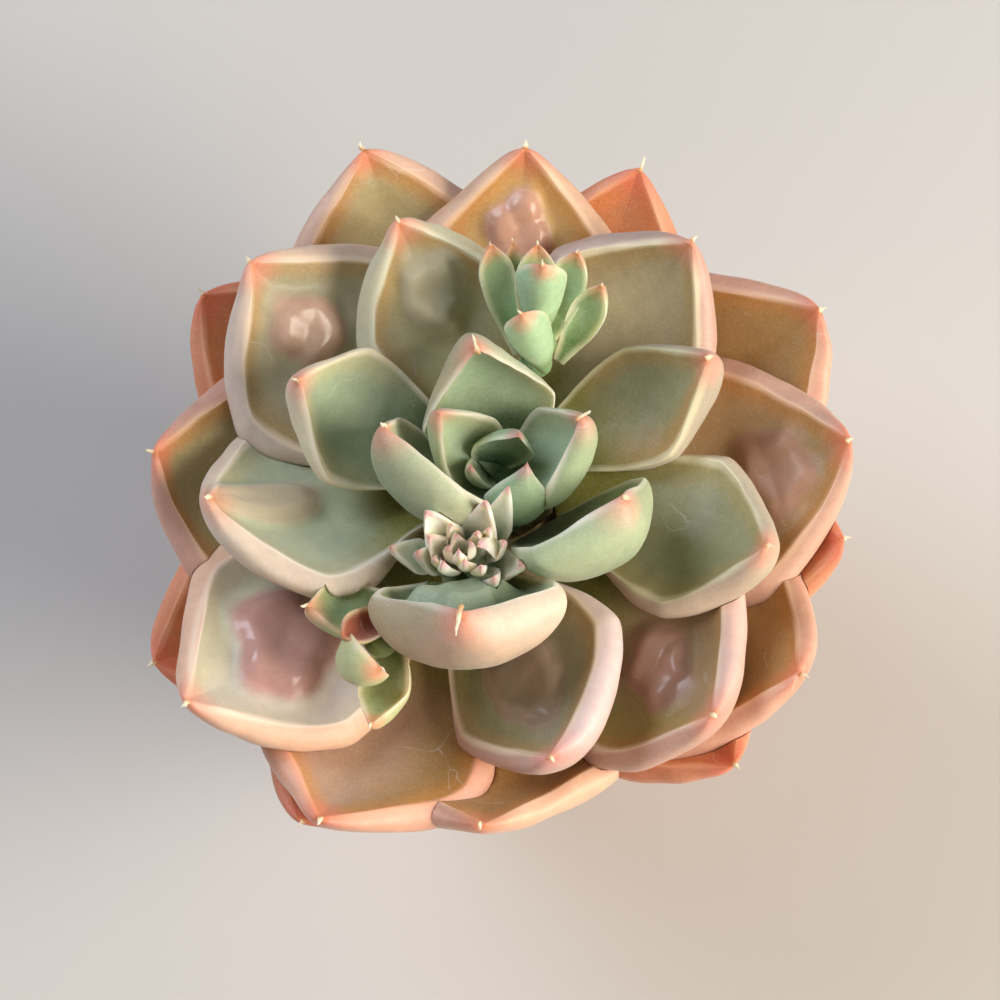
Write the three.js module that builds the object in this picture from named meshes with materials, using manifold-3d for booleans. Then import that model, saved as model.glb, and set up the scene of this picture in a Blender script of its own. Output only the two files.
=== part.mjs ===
// A potted rosette echeveria: thick boat-shaped leaves around a forked growing point, in a plain clay pot.
// Millimetres, +Z up. The rosette opens upwards, and its front is the side towards -Y.
import * as THREE from "three";
import { mergeVertices } from "three/addons/utils/BufferGeometryUtils.js";
import Module from "manifold-3d";

const wasm = await Module();
wasm.setup();

// Clay pot: a tapered wall under a thicker rim band
const POT_HEIGHT = 44;
const POT_FOOT_RADIUS = 21;
const POT_RIM_RADIUS = 30;
const POT_RIM_BAND = 11;
const POT_BAND_STEP = 1.6;
const POT_WALL = 3.4;
const POT_FLOOR = 4;
const POT_EDGE = 0.8;
const DRAIN_RADIUS = 4;
const POT_SIDES = 40;

// Potting mix: fills the pot to a gritty top
const SOIL_TOP = 38;
const SOIL_RELIEF = 0.8;
const SOIL_SIDES = 32;
const SOIL_RINGS = 5;
const SOIL_WAVES_X = 1.7;
const SOIL_WAVES_Y = 1.3;

// Stem: stands in a plain hole in the soil and carries every leaf
const STEM_RADIUS = 6.3;
const STEM_FOOT = 20;
const STEM_TOP = 62;
const STEM_SIDES = 16;
const STEM_RING_STEP = 3;
const STEM_RIPPLE = 0.35;

// Clear gap left between pieces that touch on the real plant, the size of sliver that a cut drops, and the distance
// at which two points of a mesh are the same
const GAP = 0.3;
const SLIVER = 0.04;
const WELD = 0.001;

// Outline of a leaf's inner face, as shares of its length and half width
const WIDEST_AT = 0.62;
const SMALL_WIDEST_AT = 0.5;
const ROOT_WIDTH_SHARE = 0.36;
const ROOT_SWELL_POWER = 1.2;
const SHOULDER_POWER = 1.3;

// Thickness of a leaf: full from FULL_THICKNESS_AT on, then rounded off like a bow
const ROOT_THICKNESS_SHARE = 0.5;
const FULL_THICKNESS_AT = 0.45;
const BOW_FULLNESS = 5;
const BOW_POWER = 0.7;

// Inner face: a channel as deep as a share of the thickness, round in the middle and folded to a V near the tip
const CHANNEL_SHARE = 0.26;
const CHANNEL_FULL_AT = 0.55;
const CHANNEL_FULLNESS = 6;
const CHANNEL_LIFT = 0.4;
const ROUND_FOLD = 2.2;
const SHARP_FOLD = 1.1;
const FOLD_FROM = 0.55;
const FOLD_TO = 0.95;

// Back of a leaf: swells past the ridges, then closes in a flat curve over the keel
const OVERHANG_SHARE = 0.28;
const SMALL_OVERHANG_SHARE = 0.06;
const OVERHANG_FROM = 0.15;
const OVERHANG_FULL_AT = 0.55;
const OVERHANG_FULLNESS = 7;
const OVERHANG_POWER = 0.6;
const BACK_DROP = 0.32;
const BACK_WIDTH = 0.62;
const BACK_SWELL = 0.7;
const BACK_CROWDING = 1.3;

// Middle line of a leaf: sags most at three fifths of its length, where SAG_SCALE makes it the full sag
const SAG_POWER = 1.5;
const SAG_SCALE = 5.38;
const SWING_SCALE = 4;
const SLOPE_STEP = 0.01;

// Small hard point at the tip
const POINT_LENGTH = 0.9;
const SMALL_POINT_LENGTH = 0.36;
const SMALL_LEAF_HALF = 5;

// The rosette reaches further to the back than to the front, so the plant stands a little off the pot's middle
const PLANT_SHIFT = [0, -3.5, 0];

// Facets of a leaf: stations along it, steps across its inner face and round its back
const LARGE = { stations: [0, 0.14, 0.3, 0.46, 0.6, 0.72, 0.83, 0.92, 0.975], face: 6, back: 6 };
const SMALL = { stations: [0, 0.32, 0.6, 0.8, 0.95], face: 4, back: 4 };

// Each leaf has its tip, its root on the stem, its half width and thickness, and how far its middle sags below a
// straight line. Some also have a roll in degrees, a swing sideways, the depth of the cup, the share by which the
// back bulges past the ridges, where the leaf is widest, how blunt its shoulders are, and a soft blister on the
// inner face.
// The list runs from the top of the rosette down, measured from the middle of the stem.
const LEAVES = [
  // The cupped leaves round the main growing point
  { name: "inner_leaf_1", tip: [-6.7, 6.6, 79], root: [1.5, 1.5, 64], half: 4.6, thick: 3.5, sag: 1.4,
    bulge: 0.1, widest: 0.5, cup: 2 },
  { name: "inner_leaf_2", tip: [8.9, 6.4, 78], root: [0, 2, 63.5], half: 6, thick: 4.4, sag: 1.2,
    roll: -28, bulge: 0.16, widest: 0.5, cup: 2.4 },
  { name: "inner_leaf_3", tip: [-2.6, 14.1, 79], root: [0.5, 4, 62.5], half: 8.1, thick: 5, sag: 3.4,
    bulge: 0.06, widest: 0.42, shoulder: 1.1, cup: 3.2 },
  { name: "inner_leaf_4", tip: [-4.4, -16.5, 80], root: [-3, -7.5, 62.5], half: 10, thick: 6, sag: 3,
    roll: 12, bulge: 0.2, cup: 7, blister: { at: 0.56, side: -0.5, long: 5.5, wide: 6.5, high: 6 } },
  { name: "inner_leaf_5", tip: [13.8, -3.2, 79], root: [3.5, -2.3, 62.5], half: 9.2, thick: 6.5, sag: 1.4,
    bulge: 0.12, roll: -52, cup: 2.6 },
  { name: "inner_leaf_6", tip: [-12.7, 5, 79], root: [0.3, 0, 63], half: 8, thick: 5.5, sag: 1,
    bulge: 0.2, roll: 60, cup: 3 },
  { name: "inner_leaf_7", tip: [-22.9, 11.4, 76], root: [-5, 6, 61], half: 8, thick: 6, sag: 2.5,
    bulge: 0.08 },
  // The open middle leaves
  { name: "middle_leaf_1", tip: [23.7, 14.8, 74], root: [4.5, 7.5, 60], half: 7, thick: 6.5, sag: 3.5,
    widest: 0.57, bulge: 0.12 },
  { name: "middle_leaf_2", tip: [30.1, -7.1, 73], root: [5.5, 4.5, 59], half: 8.8, thick: 7, sag: 4,
    bulge: 0.22 },
  { name: "middle_leaf_3", tip: [5.7, -30.8, 71], root: [-3.5, -7, 59], half: 10.5, thick: 7, sag: 4,
    roll: 30, widest: 0.53, blister: { at: 0.54, side: -0.5, long: 6.5, wide: 6, high: 1.8 } },
  { name: "middle_leaf_5", tip: [-11.7, 31.4, 74], root: [2, 7, 59], half: 8.8, thick: 7, sag: 3.5,
    blister: { at: 0.7, side: -0.5, long: 6, wide: 5, high: 1.8 } },
  { name: "middle_leaf_4", tip: [-29.1, 27.6, 71], root: [-4.5, 6.5, 58], half: 12.5, thick: 7, sag: 3.5,
    blister: { at: 0.7, side: 0.5, long: 6, wide: 5, high: 1.8 } },
  { name: "middle_leaf_6", tip: [-32.7, -1.4, 73], root: [-6, 5, 59], half: 11.5, thick: 7, sag: 4,
    roll: 25, swing: -1, blister: { at: 0.72, side: -1, long: 10, wide: 3.5, high: 1.6 } },
  { name: "middle_leaf_7", tip: [22.5, 30.3, 71], root: [1, 9, 57], half: 10.5, thick: 7, sag: 3.5 },
  { name: "middle_leaf_8", tip: [-35.1, -24.3, 69], root: [-6.5, 0.5, 56], half: 12, thick: 7.5, sag: 4,
    blister: { at: 0.62, side: 0, long: 8.5, wide: 7.5, high: 3.2 } },
  { name: "middle_leaf_9", tip: [23.7, -25.6, 69], root: [4.5, -5.5, 56], half: 12, thick: 7, sag: 4,
    roll: 18, blister: { at: 0.63, side: 0, long: 5.5, wide: 5.5, high: 1.8 } },
  // The outer leaves
  { name: "outer_leaf_1", tip: [3, 43.7, 67], root: [0.5, 7, 54], half: 12, thick: 7, sag: 3.5,
    blister: { at: 0.74, side: 0, long: 5.5, wide: 5, high: 1.8 } },
  { name: "outer_leaf_2", tip: [40.4, 7.4, 66], root: [7, 1.5, 54], half: 13, thick: 7, sag: 4,
    blister: { at: 0.72, side: -0.5, long: 6, wide: 6, high: 1.4 } },
  { name: "outer_leaf_3", tip: [-40.4, 6, 66], root: [-7, 1.5, 54], half: 14, thick: 7, sag: 4 },
  { name: "outer_leaf_4", tip: [-20.1, -36.7, 65], root: [-5, -6, 53], half: 12.5, thick: 7, sag: 4 },
  { name: "outer_leaf_5", tip: [34.5, -20.2, 65], root: [6, -4, 53], half: 14, thick: 7, sag: 4 },
  { name: "outer_leaf_6", tip: [-16.6, 44.4, 65], root: [-4, 6.5, 53], half: 13, thick: 7, sag: 3.5 },
  { name: "outer_leaf_7", tip: [37.8, 23.8, 65], root: [5.5, 6, 52], half: 14, thick: 7, sag: 4 },
  { name: "outer_leaf_8", tip: [-2.3, -36.9, 63], root: [-4, -6.5, 52], half: 15, thick: 7, sag: 5,
    swing: 2.5 },
  // The lowest leaves, mostly covered
  { name: "lowest_leaf_1", tip: [17.1, 43.5, 61], root: [2.5, 6.5, 50], half: 11.5, thick: 6, sag: 2.5 },
  { name: "lowest_leaf_2", tip: [40.3, -3, 61], root: [7, -1, 50], half: 10.5, thick: 6, sag: 2.5 },
  { name: "lowest_leaf_3", tip: [26.8, -29.8, 61], root: [4.5, -5, 50], half: 9.5, thick: 6, sag: 2.5 },
  { name: "lowest_leaf_4", tip: [-22.6, -36, 59], root: [-5, -5, 50], half: 11.5, thick: 6, sag: 2.5 },
  { name: "lowest_leaf_5", tip: [-40, -18, 61], root: [-6.5, -2.5, 50], half: 13, thick: 6, sag: 2.5 },
  { name: "lowest_leaf_6", tip: [-35.6, 27.4, 61], root: [-5, 4.5, 50], half: 13, thick: 6, sag: 2.5 },
];

// Small leaves that grow together: each bunch is one solid round its own core, a string of balls out from the stem.
// Its shape holds for each of its leaves that doesn't say otherwise.
const BUNCHES = [
  {
    name: "main_crown",
    core: [
      { at: [0, 3.5, 64.3], radius: 2.2 },
      { at: [0.8, -1, 64.3], radius: 2.2 },
    ],
    leaves: [
      { tip: [2.9, 1.3, 77], root: [1, -2, 65], half: 3.8, thick: 2.2, sag: 1, roll: -150 },
      { tip: [2.2, 4.9, 75.5], root: [-1.6, 3.8, 65.3], half: 3.6, thick: 1.6, sag: 0.8, cup: 1.2,
        roll: 72 },
      { tip: [-3.2, 1.7, 75], root: [-0.5, 3.5, 64.5], half: 2, thick: 1.4, sag: 0.6 },
    ],
  },
  {
    name: "second_crown",
    shape: { widest: 0.45, shoulder: 1 },
    core: [
      { at: [-3.5, -5, 64], radius: 2.2 },
      { at: [-6, -7, 66], radius: 2 },
      { at: [-2.4, -7.4, 66], radius: 2 },
    ],
    leaves: [
      { tip: [-8.2, -5.1, 79.5], root: [-4.6, -7.2, 67], half: 2.3, thick: 1.5, sag: 0.6, roll: -35 },
      { tip: [-1.7, -3.6, 79], root: [-3.2, -7, 67], half: 2.2, thick: 1.5, sag: 0.4 },
      { tip: [0.9, -1.7, 78], root: [-1.6, -6.4, 66], half: 1.9, thick: 1.4, sag: 0.5 },
      { tip: [-12.2, -7.1, 73], root: [-6.4, -7.2, 65.5], half: 2.1, thick: 1.5, sag: 0.6 },
      { tip: [-7.8, -6.9, 76], root: [-5, -7.6, 67], half: 1.9, thick: 1.3, sag: 0.3, roll: -30 },
      { tip: [-9.1, -8.1, 74.5], root: [-6, -8, 66.5], half: 1.7, thick: 1.3, sag: 0.4 },
      { tip: [-4.8, -6.7, 76], root: [-4.4, -7.4, 67.5], half: 1.2, thick: 1, sag: 0.2 },
      { tip: [-2.6, -6.4, 76], root: [-3, -7.2, 67.5], half: 1.2, thick: 1, sag: 0.2 },
      { tip: [-2.5, -8, 76], root: [-1.2, -6.8, 67], half: 1.6, thick: 1.4, sag: 0.6, roll: 180 },
      { tip: [-0.7, -11.2, 75], root: [-2.2, -8, 66.5], half: 1.5, thick: 1.3, sag: 0.6 },
      { tip: [2.2, -9.6, 74.5], root: [-1.4, -7.6, 66], half: 1.8, thick: 1.5, sag: 0.6, roll: 20 },
      { tip: [-6.3, -9.6, 75.5], root: [-4.8, -7.8, 67], half: 1.4, thick: 1.2, sag: 0.4 },
      { tip: [-3.9, -9.3, 75.5], root: [-3.6, -7.6, 67], half: 1.2, thick: 1, sag: 0.3 },
      { tip: [-5.6, -7.8, 76], root: [-5, -7.6, 67.5], half: 1, thick: 0.9, sag: 0.2 },
    ],
  },
  {
    name: "upper_offset",
    shape: { widest: 0.6, shoulder: 2.4 },
    core: [
      { at: [2, 7, 61.5], radius: 1.7 },
      { at: [3.6, 12, 61.8], radius: 1.7 },
      { at: [4.2, 17.4, 65], radius: 2 },
      { at: [4.6, 18.6, 68], radius: 2 },
    ],
    leaves: [
      { tip: [-1.1, 28, 75.5], root: [2.2, 17.6, 67.5], half: 2.1, thick: 2.6, sag: 1.2 },
      { tip: [1.4, 29, 74], root: [3.2, 18.4, 67.5], half: 1.8, thick: 1.6, sag: 0.8 },
      { tip: [4.3, 28, 75.5], root: [4, 18.4, 68], half: 2.5, thick: 2.4, sag: 0.8 },
      { tip: [4.8, 23.8, 80], root: [4.4, 19.8, 68.5], half: 2.9, thick: 3.2, sag: -1.6, roll: 180 },
      { tip: [8.8, 27, 75.5], root: [5, 18, 67.5], half: 2.3, thick: 2.6, sag: 1.4 },
      { tip: [2.3, 18.8, 78], root: [5.2, 16, 67.5], half: 2.6, thick: 2.8, sag: -0.8, roll: 150 },
      { tip: [11.6, 23.2, 75], root: [6.8, 16.8, 66.5], half: 2.1, thick: 2.2, sag: 1.2, shoulder: 1.8 },
    ],
  },
  {
    name: "lower_offset",
    shape: { widest: 0.6 },
    core: [
      { at: [-5, -7.5, 61.5], radius: 1.8 },
      { at: [-7.5, -11, 63.5], radius: 2 },
      { at: [-10.5, -14.5, 65.5], radius: 2.4 },
      { at: [-13.5, -16.5, 66.5], radius: 2 },
    ],
    leaves: [
      { tip: [-21.6, -13.8, 72], root: [-11.5, -12, 66], half: 3.7, thick: 3.4, sag: 1, roll: 14 },
      { tip: [-13.1, -21.2, 73], root: [-16.7, -16.4, 66.8], half: 3.2, thick: 3.6, sag: 0.4, roll: -80,
        shoulder: 2 },
      { tip: [-14.4, -26.9, 70], root: [-12, -15, 65], half: 3, thick: 3, sag: 1.2, roll: 18 },
      { tip: [-17.6, -17.4, 73], root: [-11, -13, 66.5], half: 2, thick: 2.4, sag: 0.2, widest: 0.65,
        shoulder: 3, cup: 1.4 },
    ],
  },
];

const COLOURS = {
  pot: "#b5673f",
  soil: "#4d4238",
  stem: "#8a7a58",
  inner: "#a9be9b",
  middle: "#a89a78",
  outer: "#c99a7c",
  lowest: "#d98a66",
  bunch: "#93b27c",
};
const ROUGHNESS = 0.6;

// Returns 0 at the start, 1 at the end and a smooth rise between them.
function smooth(start, end, x) {
  const t = Math.min(1, Math.max(0, (x - start) / (end - start)));
  return t * t * (3 - 2 * t);
}

// Turns a closed three.js geometry into a manifold solid.
function solidOf(geometry) {
  const bare = geometry.clone();
  bare.deleteAttribute("normal");
  bare.deleteAttribute("uv");
  const merged = mergeVertices(bare, WELD);
  return new wasm.Manifold(
    new wasm.Mesh({
      numProp: 3,
      vertProperties: merged.attributes.position.array,
      triVerts: new Uint32Array(merged.index.array),
    }),
  );
}

// Turns a manifold solid back into a three.js geometry.
function geometryOf(solid) {
  const mesh = solid.getMesh();
  const positions = new Float32Array(mesh.numVert * 3);
  for (let i = 0; i < mesh.numVert; i += 1) {
    for (let axis = 0; axis < 3; axis += 1) {
      positions[i * 3 + axis] = mesh.vertProperties[i * mesh.numProp + axis];
    }
  }
  const geometry = new THREE.BufferGeometry();
  geometry.setAttribute("position", new THREE.BufferAttribute(positions, 3));
  geometry.setIndex(new THREE.BufferAttribute(new Uint32Array(mesh.triVerts), 1));
  return geometry;
}

// Gives a leaf its own axes: out along it, left across it and up from its inner face.
function leafAxes(leaf) {
  const root = new THREE.Vector3(...leaf.root);
  const along = new THREE.Vector3(...leaf.tip).sub(root);
  const length = along.length();
  along.normalize();
  const level = new THREE.Vector3(0, 0, 1).cross(along).normalize();
  const roll = THREE.MathUtils.degToRad(leaf.roll || 0);
  const across = level.clone().applyAxisAngle(along, roll);
  const up = along.clone().cross(across);
  return { root, along, length, across, up };
}

// Point of a leaf's middle line at the share u of its length.
function middleLine(leaf, axes, u) {
  const sag = leaf.sag * SAG_SCALE * u ** SAG_POWER * (1 - u);
  const swing = (leaf.swing || 0) * SWING_SCALE * u * (1 - u);
  return axes.root
    .clone()
    .addScaledVector(axes.along, u * axes.length)
    .addScaledVector(axes.across, swing)
    .addScaledVector(axes.up, -sag);
}

// Half width of the inner face, between its two ridges, at u.
function halfWidthAt(leaf, u) {
  const widest = leaf.widest || WIDEST_AT;
  if (u < widest) {
    const rise = Math.sin((Math.PI / 2) * (u / widest)) ** ROOT_SWELL_POWER;
    return leaf.half * (ROOT_WIDTH_SHARE + (1 - ROOT_WIDTH_SHARE) * rise);
  }
  return leaf.half * (1 - ((u - widest) / (1 - widest)) ** (leaf.shoulder || SHOULDER_POWER));
}

// Thickness from the inner face to the keel at u: thin at the root, and rounded off like a bow at the tip.
function thicknessAt(leaf, u) {
  const swell = ROOT_THICKNESS_SHARE + (1 - ROOT_THICKNESS_SHARE) * smooth(0, FULL_THICKNESS_AT, u);
  return leaf.thick * swell * (1 - u ** BOW_FULLNESS) ** BOW_POWER;
}

// Height of the inner face over the middle line at u and at v, from -1 at one ridge to 1 at the other.
function faceHeight(leaf, length, u, v) {
  const full = leaf.cup || leaf.thick * CHANNEL_SHARE;
  const depth = full * smooth(0, CHANNEL_FULL_AT, u) * (1 - u ** CHANNEL_FULLNESS);
  const fold = ROUND_FOLD + (SHARP_FOLD - ROUND_FOLD) * smooth(FOLD_FROM, FOLD_TO, u);
  const channel = depth * (Math.abs(v) ** fold - CHANNEL_LIFT);
  if (!leaf.blister) return channel;
  const { at, side, long, wide, high } = leaf.blister;
  const du = ((u - at) * length) / long;
  const dv = (v * halfWidthAt(leaf, u) - side) / wide;
  return channel + high * smooth(1, 0, Math.hypot(du, dv));
}

// One closed ring of a leaf's section at u as [across, up] pairs: over the inner face from the left ridge, then
// round the back.
function sectionAt(leaf, length, facets, u) {
  const half = halfWidthAt(leaf, u);
  const thick = thicknessAt(leaf, u);
  const swell = smooth(OVERHANG_FROM, OVERHANG_FULL_AT, u) * (1 - u ** OVERHANG_FULLNESS) ** OVERHANG_POWER;
  const overhang = leaf.half * (leaf.bulge || OVERHANG_SHARE) * swell;
  const rim = faceHeight(leaf, length, u, 1);
  const ring = [];
  for (let i = 0; i <= facets.face; i += 1) {
    const v = 1 - (2 * i) / facets.face;
    ring.push([v * half, faceHeight(leaf, length, u, v)]);
  }
  for (let i = 1; i < facets.back; i += 1) {
    const t = (2 * i) / facets.back;
    const side = t < 1 ? -1 : 1;
    const s = (t < 1 ? t : 2 - t) ** BACK_CROWDING;
    const w = 1 - s;
    const nearRidge = 3 * w * w * s;
    const nearKeel = 3 * w * s * s;
    const across =
      w ** 3 * half + nearRidge * (half + 2 * overhang) + nearKeel * (BACK_WIDTH * half + BACK_SWELL * overhang);
    const up = w ** 3 * rim + nearRidge * (rim - BACK_DROP * thick) - (nearKeel + s ** 3) * thick;
    ring.push([side * across, up]);
  }
  return ring;
}

// Moves the points of a section away from the middle of the leaf by the growth.
function grownSection(ring, thick, growth) {
  return ring.map(([across, up]) => {
    const depth = up + thick / 2;
    const reach = Math.hypot(across, depth) || 1;
    return [across * (1 + growth / reach), up + (growth * depth) / reach];
  });
}

// The closed solid of one leaf, larger all round by the growth.
function leafSolid(leaf, facets, growth) {
  const axes = leafAxes(leaf);
  const points = [];
  const faces = [];
  const size = facets.face + facets.back;
  facets.stations.forEach((u) => {
    const before = middleLine(leaf, axes, Math.max(0, u - SLOPE_STEP));
    const direction = middleLine(leaf, axes, u + SLOPE_STEP).sub(before).normalize();
    const up = direction.clone().cross(axes.across).normalize();
    const middle = middleLine(leaf, axes, u);
    if (u === 0) middle.addScaledVector(direction, -growth);
    const ring = grownSection(sectionAt(leaf, axes.length, facets, u), thicknessAt(leaf, u), growth);
    ring.forEach(([across, height]) => {
      points.push(middle.clone().addScaledVector(axes.across, across).addScaledVector(up, height));
    });
  });
  const last = facets.stations.length - 1;
  for (let i = 0; i < last; i += 1) {
    for (let j = 0; j < size; j += 1) {
      const a = i * size + j;
      const b = i * size + ((j + 1) % size);
      faces.push(a, b, a + size, b, b + size, a + size);
    }
  }
  const rootMiddle = new THREE.Vector3();
  points.slice(0, size).forEach((point) => rootMiddle.addScaledVector(point, 1 / size));
  const pointLength = leaf.half > SMALL_LEAF_HALF ? POINT_LENGTH : SMALL_POINT_LENGTH;
  const point = middleLine(leaf, axes, 1)
    .addScaledVector(axes.along, pointLength + growth)
    .addScaledVector(axes.up, pointLength);
  points.push(rootMiddle, point);
  for (let j = 0; j < size; j += 1) {
    const k = (j + 1) % size;
    faces.push(points.length - 2, k, j, points.length - 1, last * size + j, last * size + k);
  }
  const geometry = new THREE.BufferGeometry().setFromPoints(points);
  geometry.setIndex(faces);
  return solidOf(geometry);
}

// One bunch of small leaves joined to its core, larger all round by the growth.
function bunchSolid(bunch, growth) {
  const balls = bunch.core.map(({ at, radius }) =>
    solidOf(new THREE.IcosahedronGeometry(radius + growth, 1).translate(...at)),
  );
  let core = balls[0];
  for (let i = 1; i < balls.length; i += 1) {
    core = core.add(wasm.Manifold.hull([balls[i - 1], balls[i]]));
  }
  return bunch.leaves
    .map((leaf) => ({ bulge: SMALL_OVERHANG_SHARE, widest: SMALL_WIDEST_AT, ...bunch.shape, ...leaf }))
    .reduce((sum, leaf) => sum.add(leafSolid(leaf, SMALL, growth)), core);
}

// The stem, rippled by the rings that fallen leaves left, larger all round by the growth.
function stemSolid(growth) {
  const profile = [new THREE.Vector2(0, STEM_FOOT - growth)];
  let ridge = true;
  for (let z = STEM_FOOT; z <= STEM_TOP; z += STEM_RING_STEP) {
    profile.push(new THREE.Vector2(STEM_RADIUS + (ridge ? STEM_RIPPLE : 0) + growth, z));
    ridge = !ridge;
  }
  profile.push(new THREE.Vector2(0, STEM_TOP + growth));
  return solidOf(new THREE.LatheGeometry(profile, STEM_SIDES).rotateX(Math.PI / 2));
}

// Cuts the pieces above from a solid, keeps the largest body that is left and drops its slivers.
function trimmed(solid, pieces) {
  const cut = pieces.reduce((rest, piece) => rest.subtract(piece), solid);
  const body = cut.decompose().reduce((best, part) => (part.volume() > best.volume() ? part : best));
  return body.simplify(SLIVER);
}

const group = new THREE.Group();
const plant = new THREE.Group();
plant.position.set(...PLANT_SHIFT);
group.add(plant);

// Adds one piece to the pot's group or to the plant's.
function addPiece(holder, name, solid, colour) {
  const material = new THREE.MeshStandardMaterial({ color: colour, roughness: ROUGHNESS });
  const mesh = new THREE.Mesh(geometryOf(solid), material);
  mesh.name = name;
  holder.add(mesh);
}

// Radius of the pot's inner wall at a height.
function potInnerRadius(z) {
  const foot = POT_FOOT_RADIUS - POT_WALL;
  const rim = POT_RIM_RADIUS - POT_WALL;
  return foot + ((rim - foot) * z) / POT_HEIGHT;
}

// The pot: a lathe profile up the outside, over the lip and down the inside to the drain hole.
function potSolid() {
  const bandFoot = POT_HEIGHT - POT_RIM_BAND;
  const profile = [
    [DRAIN_RADIUS, 0],
    [POT_FOOT_RADIUS - POT_EDGE, 0],
    [POT_FOOT_RADIUS, POT_EDGE],
    [POT_RIM_RADIUS - POT_BAND_STEP, bandFoot],
    [POT_RIM_RADIUS - POT_EDGE / 2, bandFoot],
    [POT_RIM_RADIUS, bandFoot + POT_EDGE],
    [POT_RIM_RADIUS, POT_HEIGHT - POT_EDGE],
    [POT_RIM_RADIUS - POT_EDGE, POT_HEIGHT],
    [potInnerRadius(POT_HEIGHT) + POT_EDGE, POT_HEIGHT],
    [potInnerRadius(POT_HEIGHT - POT_EDGE), POT_HEIGHT - POT_EDGE],
    [potInnerRadius(POT_FLOOR), POT_FLOOR],
    [DRAIN_RADIUS, POT_FLOOR],
    [DRAIN_RADIUS, 0],
  ].map(([radius, height]) => new THREE.Vector2(radius, height));
  return solidOf(new THREE.LatheGeometry(profile, POT_SIDES).rotateX(Math.PI / 2));
}

// The potting mix: one filling with a gritty, uneven top and a blind hole for the stem.
function soilSolid() {
  const floor = POT_FLOOR + GAP;
  const profile = [new THREE.Vector2(0, floor), new THREE.Vector2(potInnerRadius(floor) - GAP, floor)];
  for (let ring = SOIL_RINGS; ring > 0; ring -= 1) {
    profile.push(new THREE.Vector2(((potInnerRadius(SOIL_TOP) - GAP) * ring) / SOIL_RINGS, SOIL_TOP));
  }
  profile.push(new THREE.Vector2(0, SOIL_TOP));
  const filling = new THREE.LatheGeometry(profile, SOIL_SIDES).rotateX(Math.PI / 2);
  const position = filling.getAttribute("position");
  const edge = potInnerRadius(SOIL_TOP) - 2 * GAP;
  for (let i = 0; i < position.count; i += 1) {
    const x = position.getX(i);
    const y = position.getY(i);
    if (position.getZ(i) > SOIL_TOP - SOIL_RELIEF && Math.hypot(x, y) < edge) {
      const wave = Math.sin(x * SOIL_WAVES_X) * Math.cos(y * SOIL_WAVES_Y);
      position.setZ(i, SOIL_TOP + SOIL_RELIEF * wave);
    }
  }
  const holeRadius = STEM_RADIUS + STEM_RIPPLE + GAP;
  const depth = SOIL_TOP + SOIL_RELIEF - STEM_FOOT + 2 * GAP;
  const hole = new THREE.CylinderGeometry(holeRadius, holeRadius, depth, STEM_SIDES)
    .rotateX(Math.PI / 2)
    .translate(0, 0, STEM_FOOT - GAP + depth / 2)
    .translate(...PLANT_SHIFT);
  return solidOf(filling).subtract(solidOf(hole));
}

addPiece(group, "pot", potSolid(), COLOURS.pot);
addPiece(group, "soil", soilSolid(), COLOURS.soil);
addPiece(plant, "stem", stemSolid(0), COLOURS.stem);

// Each leaf gives way to the stem, to the bunches and to every leaf above it.
const above = [stemSolid(GAP)];
BUNCHES.forEach((bunch) => {
  addPiece(plant, bunch.name, trimmed(bunchSolid(bunch, 0), above), COLOURS.bunch);
  above.push(bunchSolid(bunch, GAP));
});
LEAVES.forEach((leaf) => {
  const tier = leaf.name.split("_")[0];
  addPiece(plant, leaf.name, trimmed(leafSolid(leaf, LARGE, 0), above), COLOURS[tier]);
  above.push(leafSolid(leaf, LARGE, GAP));
});

export default group;
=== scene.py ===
"""Looks of a potted rosette echeveria: fleshy leaves, offsets, stem, potting mix and a terracotta pot."""

import logging
import math
from dataclasses import dataclass, field, replace
from enum import Enum

import bpy
import numpy as np
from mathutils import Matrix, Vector, kdtree
from mathutils.bvhtree import BVHTree


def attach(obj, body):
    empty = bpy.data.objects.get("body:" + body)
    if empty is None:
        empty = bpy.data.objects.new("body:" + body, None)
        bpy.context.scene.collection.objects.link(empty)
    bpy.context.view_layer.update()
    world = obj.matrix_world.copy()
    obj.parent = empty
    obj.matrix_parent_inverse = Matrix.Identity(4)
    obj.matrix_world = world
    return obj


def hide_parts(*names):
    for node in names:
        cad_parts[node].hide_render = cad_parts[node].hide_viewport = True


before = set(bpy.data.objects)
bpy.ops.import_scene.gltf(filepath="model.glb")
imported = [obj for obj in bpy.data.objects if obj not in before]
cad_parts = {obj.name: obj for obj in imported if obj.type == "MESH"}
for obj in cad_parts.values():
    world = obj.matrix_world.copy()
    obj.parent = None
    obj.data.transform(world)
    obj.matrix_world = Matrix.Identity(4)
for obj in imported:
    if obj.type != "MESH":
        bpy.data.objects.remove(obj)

log = logging.getLogger("echeveria")

Point = tuple[float, float, float]

MM = 0.001

# The plant stands a little off the middle of the pot, as in the CAD model
PLANT_SHIFT = np.array([0.0, -3.5, 0.0])

# Room between a piece and a CAD node beside it, and between two leaves, in millimetres
GAP = 0.3
LEAF_GAP = 0.12

# Outline of a leaf's inner face, as shares of its length and half width
WIDEST_AT = 0.62
SMALL_WIDEST_AT = 0.5
ROOT_WIDTH_SHARE = 0.36
ROOT_SWELL_POWER = 1.2
SHOULDER_POWER = 1.3

# Thickness of a leaf
ROOT_THICKNESS_SHARE = 0.5
FULL_THICKNESS_AT = 0.45
BOW_FULLNESS = 5.0
BOW_POWER = 0.7

# Channel of the inner face
CHANNEL_SHARE = 0.26
CHANNEL_FULL_AT = 0.55
CHANNEL_FULLNESS = 6.0
CHANNEL_LIFT = 0.4
ROUND_FOLD = 2.2
SHARP_FOLD = 1.1
FOLD_FROM = 0.55
FOLD_TO = 0.95

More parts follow.
